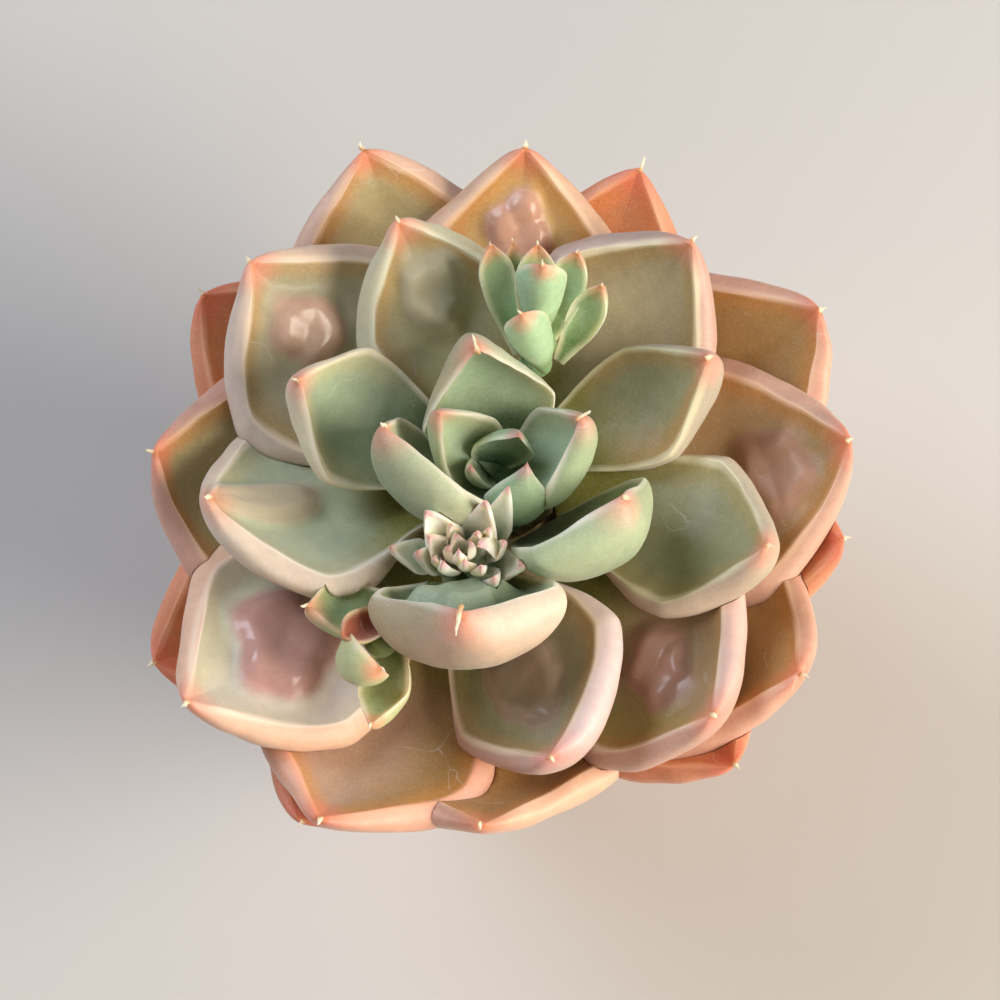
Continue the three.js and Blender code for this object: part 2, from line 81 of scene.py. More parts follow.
# Back of a leaf
OVERHANG_SHARE = 0.28
SMALL_OVERHANG_SHARE = 0.06
OVERHANG_FROM = 0.15
OVERHANG_FULL_AT = 0.55
OVERHANG_FULLNESS = 7.0
OVERHANG_POWER = 0.6
BACK_DROP = 0.32
BACK_WIDTH = 0.62
BACK_SWELL = 0.7
BACK_CROWDING = 1.3

# Middle line of a leaf
SAG_POWER = 1.5
SAG_SCALE = 5.38
SWING_SCALE = 4.0
SLOPE_STEP = 0.01

# How much the first ring of a leaf shrinks, where the last lies, and how the rings crowd to the tip
FIRST_RING_SHARE = 0.6
LAST_RING_AT = 0.985
TIP_CROWDING = 1.3
NOSE_LENGTH = 0.3

# Blister on a leaf's face: the waves of its outline, its slope, and the lobes on its top
BLISTER_WAVES = (2, 3, 5)
BLISTER_WAVE_HEIGHTS = (0.04, 0.11)
BLISTER_FOOT = 1.1
BLISTER_TOP = 0.5
LOBES = 4
LOBE_PLACES = (0.3, 0.55)
LOBE_TURN = 0.4
LOBE_SIZES = (0.42, 0.6)
LOBE_ROUNDNESS = 0.6
LOBE_LEVEL = 0.86

# Sine waves of a ripple along each axis, and the range of their lengths
RIPPLE_WAVES = 5
RIPPLE_LENGTHS = (0.7, 1.4)

# Ripples of a leaf's surface in millimetres, for a leaf of 10 mm half width
FULL_HALF_WIDTH = 10
BROAD_WAVE = 13
BROAD_WAVE_LEAST = 2
BROAD_HEIGHT = 0.2
FINE_WAVE = 3.5
FINE_WAVE_LEAST = 0.8
FINE_HEIGHT = 0.04
FINE_SEED = 500

# Hard point at a leaf's tip: how thick and rough it is, in millimetres, how it leans, and how deep it sits
HORN_SIDES = 14
HORN_RINGS = 12
HORN_RADIUS = 0.34
HORN_TAPER = 0.8
HORN_BLUNTNESS = 8
HORN_WAVE = 0.8
HORN_ROUGHNESS = 0.06
HORN_OUTWARD = 1.0
HORN_UPWARD = 0.5
HORN_SUNK = 0.25
HORN_SEED = 77

# Leaf skins: bends of the threads of dust and web in millimetres, and the colours that all skins share
THREAD_WAVE = 4.0
THREAD_SWERVE = 3.5
FIBRE = "#e6e2d6"
FROST = "#e9e4dc"
DEEP_TIP = "#c8703f"
HORN_FOOT = "#d9a066"
HORN_POINT = "#f6e6c4"

# Sockets of the Mix node when it mixes colours
MIX_A = 6
MIX_B = 7
MIX_RESULT = 2

# A point off the whole leaf takes its measures from this many of the leaf's points
NEAREST = 3

# A crown's core counts as this many millimetres from any ridge or tip
CORE_DEPTH = 20.0

# Seeds of the bunches' leaves, of the bed and of the bits on it
BUNCH_SEED = 200
BUNCH_SEED_STEP = 30
BED_SEED = 911
BITS_SEED = 950


def linear(colour: str) -> tuple[float, float, float, float]:
    """Turns an sRGB hex colour into linear light.

    Args:
        colour: The colour as "#rrggbb".

    Returns:
        Red, green, blue and an alpha of 1.
    """
    shares = [int(colour[i : i + 2], 16) / 255 for i in (1, 3, 5)]
    red, green, blue = (s / 12.92 if s <= 0.04045 else ((s + 0.055) / 1.055) ** 2.4 for s in shares)
    return (red, green, blue, 1.0)


def add_node(
    tree: bpy.types.NodeTree, kind: str, inputs: dict | None = None, **settings: object
) -> bpy.types.Node:
    """Adds a node with its settings, values and links.

    Args:
        tree: The node tree.
        kind: Blender's name of the node type.
        inputs: Values or output sockets by the name or number of the input.
        settings: Properties of the node.

    Returns:
        The new node.
    """
    node = tree.nodes.new(kind)
    for name, value in settings.items():
        setattr(node, name, value)
    for key, value in (inputs or {}).items():
        if isinstance(value, bpy.types.NodeSocket):
            tree.links.new(value, node.inputs[key])
        else:
            node.inputs[key].default_value = value
    return node


def smooth(start: float, end: float, x: np.ndarray) -> np.ndarray:
    """Rises smoothly from 0 at start to 1 at end."""
    t = np.clip((x - start) / (end - start), 0.0, 1.0)
    return t * t * (3 - 2 * t)


def ripple(points: np.ndarray, wavelength: float, seed: int) -> np.ndarray:
    """Gives each point a smooth random shift, made of a few sine waves.

    Args:
        points: Points in millimetres, one row each.
        wavelength: Typical length of a wave in millimetres.
        seed: Seed of the random draws.

    Returns:
        One shift a point, of about unit size.
    """
    draw = np.random.default_rng(seed)
    shift = np.zeros_like(points)
    for axis in range(3):
        for _ in range(RIPPLE_WAVES):
            direction = draw.normal(size=3)
            direction /= np.linalg.norm(direction)
            rate = 2 * math.pi / (wavelength * draw.uniform(*RIPPLE_LENGTHS))
            shift[:, axis] += np.sin(points @ direction * rate + draw.uniform(0, 2 * math.pi))
    return shift / math.sqrt(RIPPLE_WAVES / 2)


def points_of(mesh: bpy.types.Mesh) -> np.ndarray:
    """Reads a mesh's points in metres, one row each."""
    flat = np.empty(len(mesh.vertices) * 3)
    mesh.vertices.foreach_get("co", flat)
    return flat.reshape(-1, 3)


def set_points(mesh: bpy.types.Mesh, points: np.ndarray) -> None:
    """Writes a mesh's points, given in metres."""
    mesh.vertices.foreach_set("co", np.ascontiguousarray(points, dtype=np.float32).ravel())
    mesh.update()


def select_only(piece: bpy.types.Object) -> None:
    """Selects one object and makes it the active one."""
    bpy.ops.object.select_all(action="DESELECT")
    piece.select_set(True)
    bpy.context.view_layer.objects.active = piece


def face_outwards(piece: bpy.types.Object) -> None:
    """Turns the normals of a closed piece outwards."""
    select_only(piece)
    bpy.ops.object.mode_set(mode="EDIT")
    bpy.ops.mesh.select_all(action="SELECT")
    bpy.ops.mesh.normals_make_consistent(inside=False)
    bpy.ops.object.mode_set(mode="OBJECT")


def apply_modifier(piece: bpy.types.Object, kind: str, **settings: object) -> None:
    """Adds a modifier to a piece and applies it.

    Args:
        piece: The piece.
        kind: Blender's name of the modifier type.
        settings: Properties of the modifier.
    """
    select_only(piece)
    modifier = piece.modifiers.new(kind, kind)
    for name, value in settings.items():
        setattr(modifier, name, value)
    bpy.ops.object.modifier_apply(modifier=modifier.name)


def join(pieces: list[bpy.types.Object]) -> bpy.types.Object:
    """Joins pieces into the first one and returns it."""
    select_only(pieces[0])
    for piece in pieces[1:]:
        piece.select_set(True)
    bpy.ops.object.join()
    return pieces[0]


def blank_material(name: str) -> bpy.types.Material:
    """Adds a material with an empty node tree."""
    material = bpy.data.materials.new(name)
    material.use_nodes = True
    material.node_tree.nodes.clear()
    return material


def dress(piece: bpy.types.Object, material: bpy.types.Material) -> None:
    """Gives a piece one material."""
    piece.data.materials.clear()
    piece.data.materials.append(material)


def mount(piece: bpy.types.Object, smooth_to: float, node: str = "") -> None:
    """Shades a finished piece and mounts it on the part.

    Args:
        piece: The piece.
        smooth_to: Edges up to this many degrees are shaded smooth.
        node: The CAD node that the piece replaces, if it replaces one.
    """
    select_only(piece)
    bpy.ops.object.shade_smooth_by_angle(angle=math.radians(smooth_to))
    if node:
        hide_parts(node)
    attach(piece, "root")
    log.info("%s: %d faces", piece.name, len(piece.data.polygons))


class Measure(Enum):
    """A measure that every leaf carries on its points, and that tints are laid by."""

    ALONG = "along"  # 0 at the root, 1 at the tip
    ACROSS = "across"  # -1 at the clockwise ridge, 1 at the anticlockwise one
    RIM = "rim"  # millimetres from the nearer ridge: above 0 on the face, below 0 on the back
    RIDGE = "ridge"  # millimetres from the nearer ridge on either side of it
    TIP = "tip"  # millimetres from the tip
    BLISTER = "blister"  # 0 outside a blister, 1 on its top
    HORN = "horn"  # 0 on the leaf, 1 on the hard point at its tip


@dataclass(frozen=True)
class Blister:
    """A swollen, glassy patch on a leaf's face.

    It lies at a share of the leaf's length and side millimetres off the middle; long, wide and high are
    its half sizes and height in millimetres, and lobes says how much its top bulges unevenly.
    """

    at: float
    side: float
    long: float
    wide: float
    high: float
    lobes: float = 0.44


@dataclass(frozen=True)
class LeafForm:
    """The form of one leaf, in millimetres from the middle of the stem.

    half and thick are its half width and thickness, sag and swing say how far its middle line hangs and
    bends sideways, and bulge how far its back swells past the ridges. widest and shoulder say where it is
    widest and how full it stays towards the tip, roll turns it about its length in degrees, cup is the
    depth of its channel, and horn the length of its hard point.
    """

    tip: Point
    root: Point
    half: float
    thick: float
    sag: float
    bulge: float = OVERHANG_SHARE
    widest: float = WIDEST_AT
    roll: float = 0.0
    swing: float = 0.0
    cup: float = 0.0
    blister: Blister | None = None
    horn: float = 1.0
    shoulder: float = SHOULDER_POWER

    def axes(self) -> tuple[np.ndarray, np.ndarray, float, np.ndarray, np.ndarray]:
        """Gives the leaf its own axes.

        Returns:
            Root, direction along the leaf, length, direction across it and direction up from its face.
        """
        root = np.array(self.root, float)
        along = np.array(self.tip, float) - root
        length = float(np.linalg.norm(along))
        along /= length
        level = np.cross([0.0, 0.0, 1.0], along)
        level /= np.linalg.norm(level)
        turn = math.radians(self.roll)
        across = level * math.cos(turn) + np.cross(along, level) * math.sin(turn)
        return root, along, length, across, np.cross(along, across)

    def middle_line(self, u: np.ndarray) -> np.ndarray:
        """Points of the middle line at the shares u of the leaf's length."""
        root, along, length, across, up = self.axes()
        sag = self.sag * SAG_SCALE * u**SAG_POWER * (1 - u)
        swing = self.swing * SWING_SCALE * u * (1 - u)
        return root + np.outer(u * length, along) + np.outer(swing, across) - np.outer(sag, up)

    def half_width(self, u: np.ndarray) -> np.ndarray:
        """Half width of the inner face at u."""
        below = np.clip(u / self.widest, 0, 1)
        rise = np.sin(math.pi / 2 * below) ** ROOT_SWELL_POWER
        swell = ROOT_WIDTH_SHARE + (1 - ROOT_WIDTH_SHARE) * rise
        above = np.clip((u - self.widest) / (1 - self.widest), 0, 1)
        return self.half * np.where(u < self.widest, swell, 1 - above**self.shoulder)

    def thickness(self, u: np.ndarray) -> np.ndarray:
        """Thickness from the inner face to the keel at u."""
        rise = smooth(0, FULL_THICKNESS_AT, u)
        swell = ROOT_THICKNESS_SHARE + (1 - ROOT_THICKNESS_SHARE) * rise
        return self.thick * swell * (1 - u**BOW_FULLNESS) ** BOW_POWER

    def blister_share(self, u: np.ndarray, v: np.ndarray, seed: int) -> np.ndarray:
        """How far the blister has swollen at u and v, from 0 to 1, with a wavy outline and a few lobes."""
        if self.blister is None:
            return np.zeros_like(u)
        length = self.axes()[2]
        du = (u - self.blister.at) * length
        dv = v * self.half_width(u) - self.blister.side
        draw = np.random.default_rng(seed)
        angle = np.arctan2(dv / self.blister.wide, du / self.blister.long)
        edge = np.ones_like(u)
        for waves in BLISTER_WAVES:
            height = draw.uniform(*BLISTER_WAVE_HEIGHTS)
            edge += height * np.sin(waves * angle + draw.uniform(0, 2 * math.pi))
        reach = np.hypot(du / self.blister.long, dv / self.blister.wide) / edge
        dome = smooth(BLISTER_FOOT, BLISTER_TOP, reach)
        lobes = np.zeros_like(u)
        turn = draw.uniform(0, 2 * math.pi)
        for lobe in range(LOBES):
            out = draw.uniform(*LOBE_PLACES)
            lean = turn + lobe * 2 * math.pi / LOBES + draw.uniform(-LOBE_TURN, LOBE_TURN)
            at_u = du / self.blister.long - out * math.cos(lean)
            at_v = dv / self.blister.wide - out * math.sin(lean)
            lobes = np.maximum(lobes, 1 - (np.hypot(at_u, at_v) / draw.uniform(*LOBE_SIZES)) ** 2)
        rise = self.blister.lobes * (np.clip(lobes, 0, 1) ** LOBE_ROUNDNESS - LOBE_LEVEL)
        return dome * (1 + rise)

    def face_height(self, u: np.ndarray, v: np.ndarray, seed: int) -> np.ndarray:
        """Height of the inner face over the middle line at u and v."""
        full = self.cup or self.thick * CHANNEL_SHARE
        depth = full * smooth(0, CHANNEL_FULL_AT, u) * (1 - u**CHANNEL_FULLNESS)
        fold = ROUND_FOLD + (SHARP_FOLD - ROUND_FOLD) * smooth(FOLD_FROM, FOLD_TO, u)
        channel = depth * (np.abs(v) ** fold - CHANNEL_LIFT)
        if self.blister is None:
            return channel
        return channel + self.blister.high * self.blister_share(u, v, seed)

    def back(self, u: np.ndarray, s: np.ndarray) -> tuple[np.ndarray, np.ndarray]:
        """One side of the back, from the ridge at s = 0 to the keel at s = 1.

        Args:
            u: Shares of the length.
            s: Shares of the way from the ridge to the keel.

        Returns:
            Distances out from the middle, and heights over the middle line.
        """
        half = self.half_width(u)
        thick = self.thickness(u)
        reach = smooth(OVERHANG_FROM, OVERHANG_FULL_AT, u)
        overhang = self.half * self.bulge * reach * (1 - u**OVERHANG_FULLNESS) ** OVERHANG_POWER
        rim = self.rim(u)
        w = 1 - s
        out = w**3 * half + 3 * w**2 * s * (half + 2 * overhang)
        out += 3 * w * s**2 * (BACK_WIDTH * half + BACK_SWELL * overhang)
        high = w**3 * rim + 3 * w**2 * s * (rim - BACK_DROP * thick)
        high -= (3 * w * s**2 + s**3) * thick
        return out, high

    def rim(self, u: np.ndarray) -> np.ndarray:
        """Height of the ridge over the middle line, which no blister lifts."""
        return replace(self, blister=None).face_height(u, np.ones_like(u), 0)

    def place(self, u: np.ndarray, out: np.ndarray, high: np.ndarray) -> np.ndarray:
        """Points at distances out and heights high from the middle line at u."""
        across, up = self.axes()[3:]
        middle = self.middle_line(u)
        before = self.middle_line(np.clip(u - SLOPE_STEP, 0, 1))
        after = self.middle_line(np.clip(u + SLOPE_STEP, 0, 1))
        direction = after - before
        direction /= np.linalg.norm(direction, axis=1, keepdims=True)
        lift = np.cross(direction, across)
        lift /= np.linalg.norm(lift, axis=1, keepdims=True)
        return middle + out[:, None] * across + high[:, None] * lift

    def tip_point(self, reach: float) -> np.ndarray:
        """The point that lies reach beyond the middle line's end, outwards and upwards."""
        _, along, _, _, up = self.axes()
        return self.middle_line(np.array([1.0]))[0] + reach * (along + up)


@dataclass(frozen=True)
class LeafSkin:
    """Skin of a living echeveria leaf: a waxy, slightly translucent cuticle under a frosty bloom.

    The eye gets soft broad highlights, a pale powdery veil, warm light through the thin ridges, and
    colours that run from green at the root through ochre to pink and orange at the tip. Some of this light
    and shade is painted into the colours: at the ridges, inside them, on the sides and towards the keel.
    """

    # Colours by where they lie: clock and anti are the clockwise and anticlockwise sides, seen from above
    face: str = "#aea07e"
    root: str = "#7c7a30"
    # edge: painted shade and glow in the band inside the ridges
    edge: str = "#b8935a"
    # ridge: a painted highlight along the ridges
    ridge: str = "#f2dcc2"
    hull: str = "#cba594"
    # belly: painted shade that darkens the back towards the keel
    belly_shade: str = "#aa8c6e"
    blush: str = "#e48c76"
    blister: str = "#bd9888"
    # Side colours: partly own tone, partly painted light and shade where a side faces to or from the lamps
    clock: str = ""
    anti: str = ""
    hull_clock: str = ""
    hull_anti: str = ""

    # How far the blush reaches from the tip in millimetres, and how strong the frosty bloom is
    blush_reach: float = 5.0
    bloom: float = 0.14

    # Grain of the skin in millimetres
    patch: float = 6.0
    mottle: float = 1.6
    frost: float = 0.3
    pore: float = 0.28
    web: float = 9.0

    # Share of a blister's gloss, 0 where the swelling is as matt as the rest
    blister_gloss: float = 1.0


@dataclass(frozen=True)
class Tint:
    """A colour that is laid on where a measure of the leaf lies between start and full."""

    colour: str
    measure: Measure
    start: float
    full: float
    strength: float = 1.0
    patchy: float = 0.0


class SkinPainter:
    """Builds the node tree of one leaf skin."""

    def __init__(self, name: str, skin: LeafSkin) -> None:
        """Starts an empty material with the skin's shared patterns."""
        self.skin = skin
        self.material = blank_material(name)
        self.tree = self.material.node_tree
        self.place = add_node(self.tree, "ShaderNodeTexCoord").outputs["Object"]
        self.patches = self.noise(skin.patch, 3.0)
        self.measures = {
            measure: add_node(self.tree, "ShaderNodeAttribute", attribute_name=measure.value).outputs["Fac"]
            for measure in Measure
        }

    def noise(self, grain: float, detail: float) -> bpy.types.NodeSocket:
        """A cloudy pattern whose patches are grain millimetres wide."""
        settings = {"Vector": self.place, "Scale": 1 / (grain * MM), "Detail": detail, "Roughness": 0.6}
        return add_node(self.tree, "ShaderNodeTexNoise", settings).outputs["Fac"]

    def share(self, tint: Tint) -> bpy.types.NodeSocket:
        """How strongly a tint is laid on, from 0 to its strength."""
        value = self.measures[tint.measure]
        if tint.patchy:
            shifted = add_node(
                self.tree,
                "ShaderNodeMath",
                {0: self.patches, 1: 2 * tint.patchy, 2: -tint.patchy},
                operation="MULTIPLY_ADD",
            ).outputs[0]
            value = add_node(self.tree, "ShaderNodeMath", {0: value, 1: shifted}, operation="ADD").outputs[0]
        limits = {"Value": value, "From Min": tint.start, "From Max": tint.full, "To Max": tint.strength}
        ramp = add_node(self.tree, "ShaderNodeMapRange", limits, interpolation_type="SMOOTHSTEP")
        return ramp.outputs["Result"]

    def mix(
        self,
        share: bpy.types.NodeSocket | float,
        below: bpy.types.NodeSocket | tuple,
        above: bpy.types.NodeSocket | tuple,
        blend: str = "MIX",
    ) -> bpy.types.NodeSocket:
        """Lays one colour over another.

        Args:
            share: Share of the upper colour.
            below: The lower colour.
            above: The upper colour.
            blend: Blender's name of the blend mode.

        Returns:
            The mixed colour.
        """
        inputs = {0: share, MIX_A: below, MIX_B: above}
        mixed = add_node(self.tree, "ShaderNodeMix", inputs, data_type="RGBA", blend_type=blend)
        return mixed.outputs[MIX_RESULT]

    def tinted(self, colour: bpy.types.NodeSocket | tuple, tints: list[Tint]) -> bpy.types.NodeSocket:
        """Lays several tints on a colour, one over the other, and leaves out those without a colour."""
        for tint in tints:
            if tint.colour:
                colour = self.mix(self.share(tint), colour, linear(tint.colour))
        return colour

    def fibres(self) -> bpy.types.NodeSocket:
        """Share of the few fine pale threads of dust and web that lie on the wax."""
        bend = {"Vector": self.place, "Scale": 1 / (THREAD_WAVE * MM), "Detail": 2.0}
        swerve = add_node(self.tree, "ShaderNodeTexNoise", bend).outputs["Color"]
        swing = {0: swerve, "Scale": THREAD_SWERVE * MM}
        shift = add_node(self.tree, "ShaderNodeVectorMath", swing, operation="SCALE").outputs[0]
        moved = {0: self.place, 1: shift}
        place = add_node(self.tree, "ShaderNodeVectorMath", moved, operation="ADD").outputs[0]
        cells = {"Vector": place, "Scale": 1 / (self.skin.web * MM)}
        web = add_node(self.tree, "ShaderNodeTexVoronoi", cells, feature="DISTANCE_TO_EDGE")
        line = {"Value": web.outputs["Distance"], "From Min": 0.009, "From Max": 0.001, "To Max": 0.34}
        thread = add_node(self.tree, "ShaderNodeMapRange", line, interpolation_type="SMOOTHSTEP").outputs[0]
        spread = {"Value": self.patches, "From Min": 0.55, "From Max": 0.66}
        part = add_node(self.tree, "ShaderNodeMapRange", spread, interpolation_type="SMOOTHSTEP").outputs[0]
        return add_node(self.tree, "ShaderNodeMath", {0: thread, 1: part}, operation="MULTIPLY").outputs[0]

    def tissue(self) -> bpy.types.NodeSocket:
        """Colour of the leaf's face and back, each run from root to rim."""
        skin = self.skin
        face = self.tinted(linear(skin.face), [
            # Each side's own tone, with painted light and shade on the side turned to or from the lamps
            Tint(skin.clock, Measure.ACROSS, -0.1, -0.9, 0.9, 0.25),
            Tint(skin.anti, Measure.ACROSS, 0.1, 0.9, 0.9, 0.25),
            # Painted shade and glow in a band inside the ridges
            Tint(skin.edge, Measure.RIM, 4.5, 0.8, 0.75, 1.2),
            Tint(skin.root, Measure.ALONG, 0.5, 0.2, 1.0, 0.1),
            Tint(skin.blister, Measure.BLISTER, 0.05, 0.5, 0.8, 0.2),
        ])
        back = self.tinted(linear(skin.hull), [
            # Each side's own tone on the back, with painted light and shade on the side turned to or from
            # the lamps
            Tint(skin.hull_clock, Measure.ACROSS, -0.1, -0.8, 0.9, 0.2),
            Tint(skin.hull_anti, Measure.ACROSS, 0.1, 0.8, 0.9, 0.2),
            # Painted shade, darker towards the keel
            Tint(skin.belly_shade, Measure.RIM, -4.0, -12.0, 0.9, 1.5),
            Tint(skin.root, Measure.ALONG, 0.35, 0.1, 0.8, 0.1),
        ])
        on_face = self.share(Tint("", Measure.RIM, -0.35, 0.35))
        return self.mix(on_face, back, face)

    def skin_colour(self, matt: bpy.types.NodeSocket) -> bpy.types.NodeSocket:
        """Colour of the whole skin: the tissue with its mottling, the painted highlight on its ridges, tips,
        threads and frosty bloom.

        Args:
            matt: Share of the skin that is bloom rather than glassy blister.

        Returns:
            The colour.
        """
        skin = self.skin
        mottle = {
            "Value": self.noise(skin.mottle, 4.0),
            "From Min": 0.3,
            "From Max": 0.7,
            "To Min": 0.92,
            "To Max": 1.05,
        }
        tone_shift = add_node(self.tree, "ShaderNodeMapRange", mottle).outputs["Result"]
        colour = self.mix(1.0, self.tissue(), tone_shift, "MULTIPLY")
        colour = self.tinted(colour, [
            # Painted highlight along the ridges
            Tint(skin.ridge, Measure.RIDGE, 1.0, 0.1, 0.85, 0.25),
            Tint(skin.blush, Measure.TIP, skin.blush_reach, 0.8, 0.65, 1.2),
            Tint(DEEP_TIP, Measure.TIP, skin.blush_reach * 0.3, 0.4, 0.55, 0.3),
            Tint(HORN_FOOT, Measure.HORN, 0.1, 0.5, 1.0),
            Tint(HORN_POINT, Measure.HORN, 0.55, 1.0, 1.0),
        ])
        colour = self.mix(self.fibres(), colour, linear(FIBRE))
        frosty = {"Value": self.noise(skin.frost, 2.0), "From Min": 0.45, "From Max": 0.8}
        frosty["To Max"] = skin.bloom
        frost = add_node(self.tree, "ShaderNodeMapRange", frosty).outputs["Result"]
        veil = add_node(self.tree, "ShaderNodeMath", {0: frost, 1: matt}, operation="MULTIPLY").outputs[0]
        return self.mix(veil, colour, linear(FROST))

    def paint(self) -> bpy.types.Material:
        """Builds the whole skin and returns its material."""
        glassy = self.share(Tint("", Measure.BLISTER, 0.1, 0.6, self.skin.blister_gloss))
        matt = add_node(self.tree, "ShaderNodeMath", {0: 1.0, 1: glassy}, operation="SUBTRACT").outputs[0]
        gloss = {"Value": glassy, "To Min": 0.46, "To Max": 0.22}
        roughness = add_node(self.tree, "ShaderNodeMapRange", gloss).outputs["Result"]
        pores = {"Height": self.noise(self.skin.pore, 2.0), "Strength": matt, "Distance": 0.02 * MM}
        relief = add_node(self.tree, "ShaderNodeBump", pores).outputs["Normal"]
        surface = {
            "Base Color": self.skin_colour(matt),
            "Roughness": roughness,
            "IOR": 1.42,
            "Normal": relief,
            "Subsurface Weight": 0.4,
            "Subsurface Radius": (1.0, 0.62, 0.3),
            "Subsurface Scale": 2.2 * MM,
            "Sheen Weight": 0.15,
            "Sheen Roughness": 0.5,
        }
        shader = add_node(self.tree, "ShaderNodeBsdfPrincipled", surface, subsurface_method="BURLEY")
        add_node(self.tree, "ShaderNodeOutputMaterial", {"Surface": shader.outputs["BSDF"]})
        return self.material


def write_layers(mesh: bpy.types.Mesh, values: dict) -> None:
    """Writes one attribute a measure on the points of a mesh."""
    for measure, numbers in values.items():
        layer = mesh.attributes.get(measure.value) or mesh.attributes.new(measure.value, "FLOAT", "POINT")
        layer.data.foreach_set("value", np.ascontiguousarray(numbers, dtype=np.float32))


@dataclass
class FleshyLeaf:
    """One leaf: a uv sphere primitive drawn out along the leaf's middle line, with its measures."""

    name: str
    form: LeafForm
    columns: int = 96
    rows: int = 96
    seed: int = 0
    piece: bpy.types.Object | None = None
    whole: np.ndarray = field(default_factory=lambda: np.empty((0, 3)))
    measures: dict = field(default_factory=dict)

    def grow(self) -> bpy.types.Object:
        """Adds the leaf, whole and uncut, and returns it."""
        bpy.ops.object.select_all(action="DESELECT")
        bpy.ops.mesh.primitive_uv_sphere_add(segments=self.columns, ring_count=self.rows, calc_uvs=False)
        self.piece = bpy.context.object
        self.piece.name = self.name
        unit = points_of(self.piece.data)
        row = np.rint(np.arccos(np.clip(unit[:, 2], -1, 1)) / math.pi * self.rows)
        column = np.rint(np.arctan2(unit[:, 1], unit[:, 0]) / (2 * math.pi) * self.columns) % self.columns
        points = self._shape(row, column)
        size = self.form.half / FULL_HALF_WIDTH
        broad = ripple(points, BROAD_WAVE * size + BROAD_WAVE_LEAST, self.seed)
        points += broad * BROAD_HEIGHT * size
        fine = ripple(points, FINE_WAVE * size + FINE_WAVE_LEAST, self.seed + FINE_SEED)
        points += fine * FINE_HEIGHT * size
        set_points(self.piece.data, (points + PLANT_SHIFT) * MM)
        face_outwards(self.piece)
        apply_modifier(self.piece, "SMOOTH", factor=0.5, iterations=1)
        self.whole = points_of(self.piece.data)
        self._measure(row, column)
        self.write_measures(self.piece.data)
        return self.piece

    def _spread(self, row: np.ndarray, column: np.ndarray) -> tuple[np.ndarray, np.ndarray, np.ndarray]:
        """Spreads the sphere's rows along the leaf and its columns round the section.

        Returns:
            The share u of the length, the place v across the face, and the place s on the back, with
            its side as sign; v is nan on the back and s is nan on the face.
        """
        x = np.clip((row - 2) / (self.rows - 2), 0, 1)
        u = LAST_RING_AT * (1 - (1 - x) ** TIP_CROWDING)
        q = 2 * column / self.columns
        v = np.where(q <= 1, 0.5 * (2 * q - 1) - 0.5 * np.cos(math.pi * q), np.nan)
        t = 2 * (2 - q)
        side = np.where(t > 1, 1.0, -1.0)
        s = np.where(t > 1, 2 - t, t)
        s = np.where(q > 1, side * np.clip(s, 1e-9, 1) ** BACK_CROWDING, np.nan)
        return u, v, s

    def _shape(self, row: np.ndarray, column: np.ndarray) -> np.ndarray:
        """Points of the leaf, in millimetres, for each row and column of the sphere."""
        u, v, s = self._spread(row, column)
        on_face = ~np.isnan(v)
        face_v = np.where(on_face, v, 0)
        back_out, back_high = self.form.back(u, np.abs(np.where(on_face, 0, s)))
        side = np.sign(np.where(on_face, 1, s))
        out = np.where(on_face, face_v * self.form.half_width(u), side * back_out)
        high = np.where(on_face, self.form.face_height(u, face_v, self.seed), back_high)
        shrink = np.select([row == 0, row == 1], [0.0, FIRST_RING_SHARE], 1.0)
        points = self.form.place(u, out * shrink, high * shrink)
        points[row == self.rows] = self.form.tip_point(NOSE_LENGTH)
        return points

    def _measure(self, row: np.ndarray, column: np.ndarray) -> None:
        """Works out each point's measures for the skin."""
        u, v, s = self._spread(row, column)
        on_face = ~np.isnan(v)
        across = np.where(on_face, v, np.sign(s) * (1 - np.abs(s)))
        points = self.whole / MM - PLANT_SHIFT
        rim = self.form.rim(u)
        half = self.form.half_width(u)
        to_ridge = np.minimum(
            np.linalg.norm(points - self.form.place(u, half, rim), axis=1),
            np.linalg.norm(points - self.form.place(u, -half, rim), axis=1),
        )
        to_ridge = np.where(np.isclose(np.abs(np.where(on_face, v, 0)), 1), 0, to_ridge)
        blister = np.where(on_face, self.form.blister_share(u, np.where(on_face, v, 0), self.seed), 0)
        self.measures = {
            Measure.ALONG: u,
            Measure.ACROSS: across,
            Measure.RIM: np.where(on_face, to_ridge, -to_ridge),
            Measure.RIDGE: to_ridge,
            Measure.TIP: np.linalg.norm(points - self.form.tip_point(0), axis=1),
            Measure.BLISTER: blister,
            Measure.HORN: np.zeros_like(u),
        }

    def write_measures(self, mesh: bpy.types.Mesh) -> None:
        """Writes the measures on a mesh, each point's taken from the nearest points of the whole leaf."""
        points = points_of(mesh)
        if len(points) == len(self.whole) and np.allclose(points, self.whole):
            values = self.measures
        else:
            values = self._carried(points)
        write_layers(mesh, values)

    def _carried(self, points: np.ndarray) -> dict:
        """Measures at other points, as a mean of those of the three nearest points of the whole leaf."""
        tree = kdtree.KDTree(len(self.whole))
        for i, point in enumerate(self.whole):
            tree.insert(point, i)
        tree.balance()
        nearest = np.zeros((len(points), NEAREST), int)
        weight = np.zeros((len(points), NEAREST))
        for k, point in enumerate(points):
            for j, (_, i, distance) in enumerate(tree.find_n(point, NEAREST)):
                nearest[k, j] = i
                weight[k, j] = 1 / (distance + 1e-7) ** 2
        weight /= weight.sum(axis=1, keepdims=True)
        return {m: (numbers[nearest] * weight).sum(axis=1) for m, numbers in self.measures.items()}

    def grown(self, growth: float) -> bpy.types.Object:
        """A copy of the leaf that is growth millimetres larger all round, for cutting its neighbours."""
        cutter = self.piece.copy()
        cutter.data = self.piece.data.copy()
        bpy.context.scene.collection.objects.link(cutter)
        swell(cutter, growth)
        return cutter

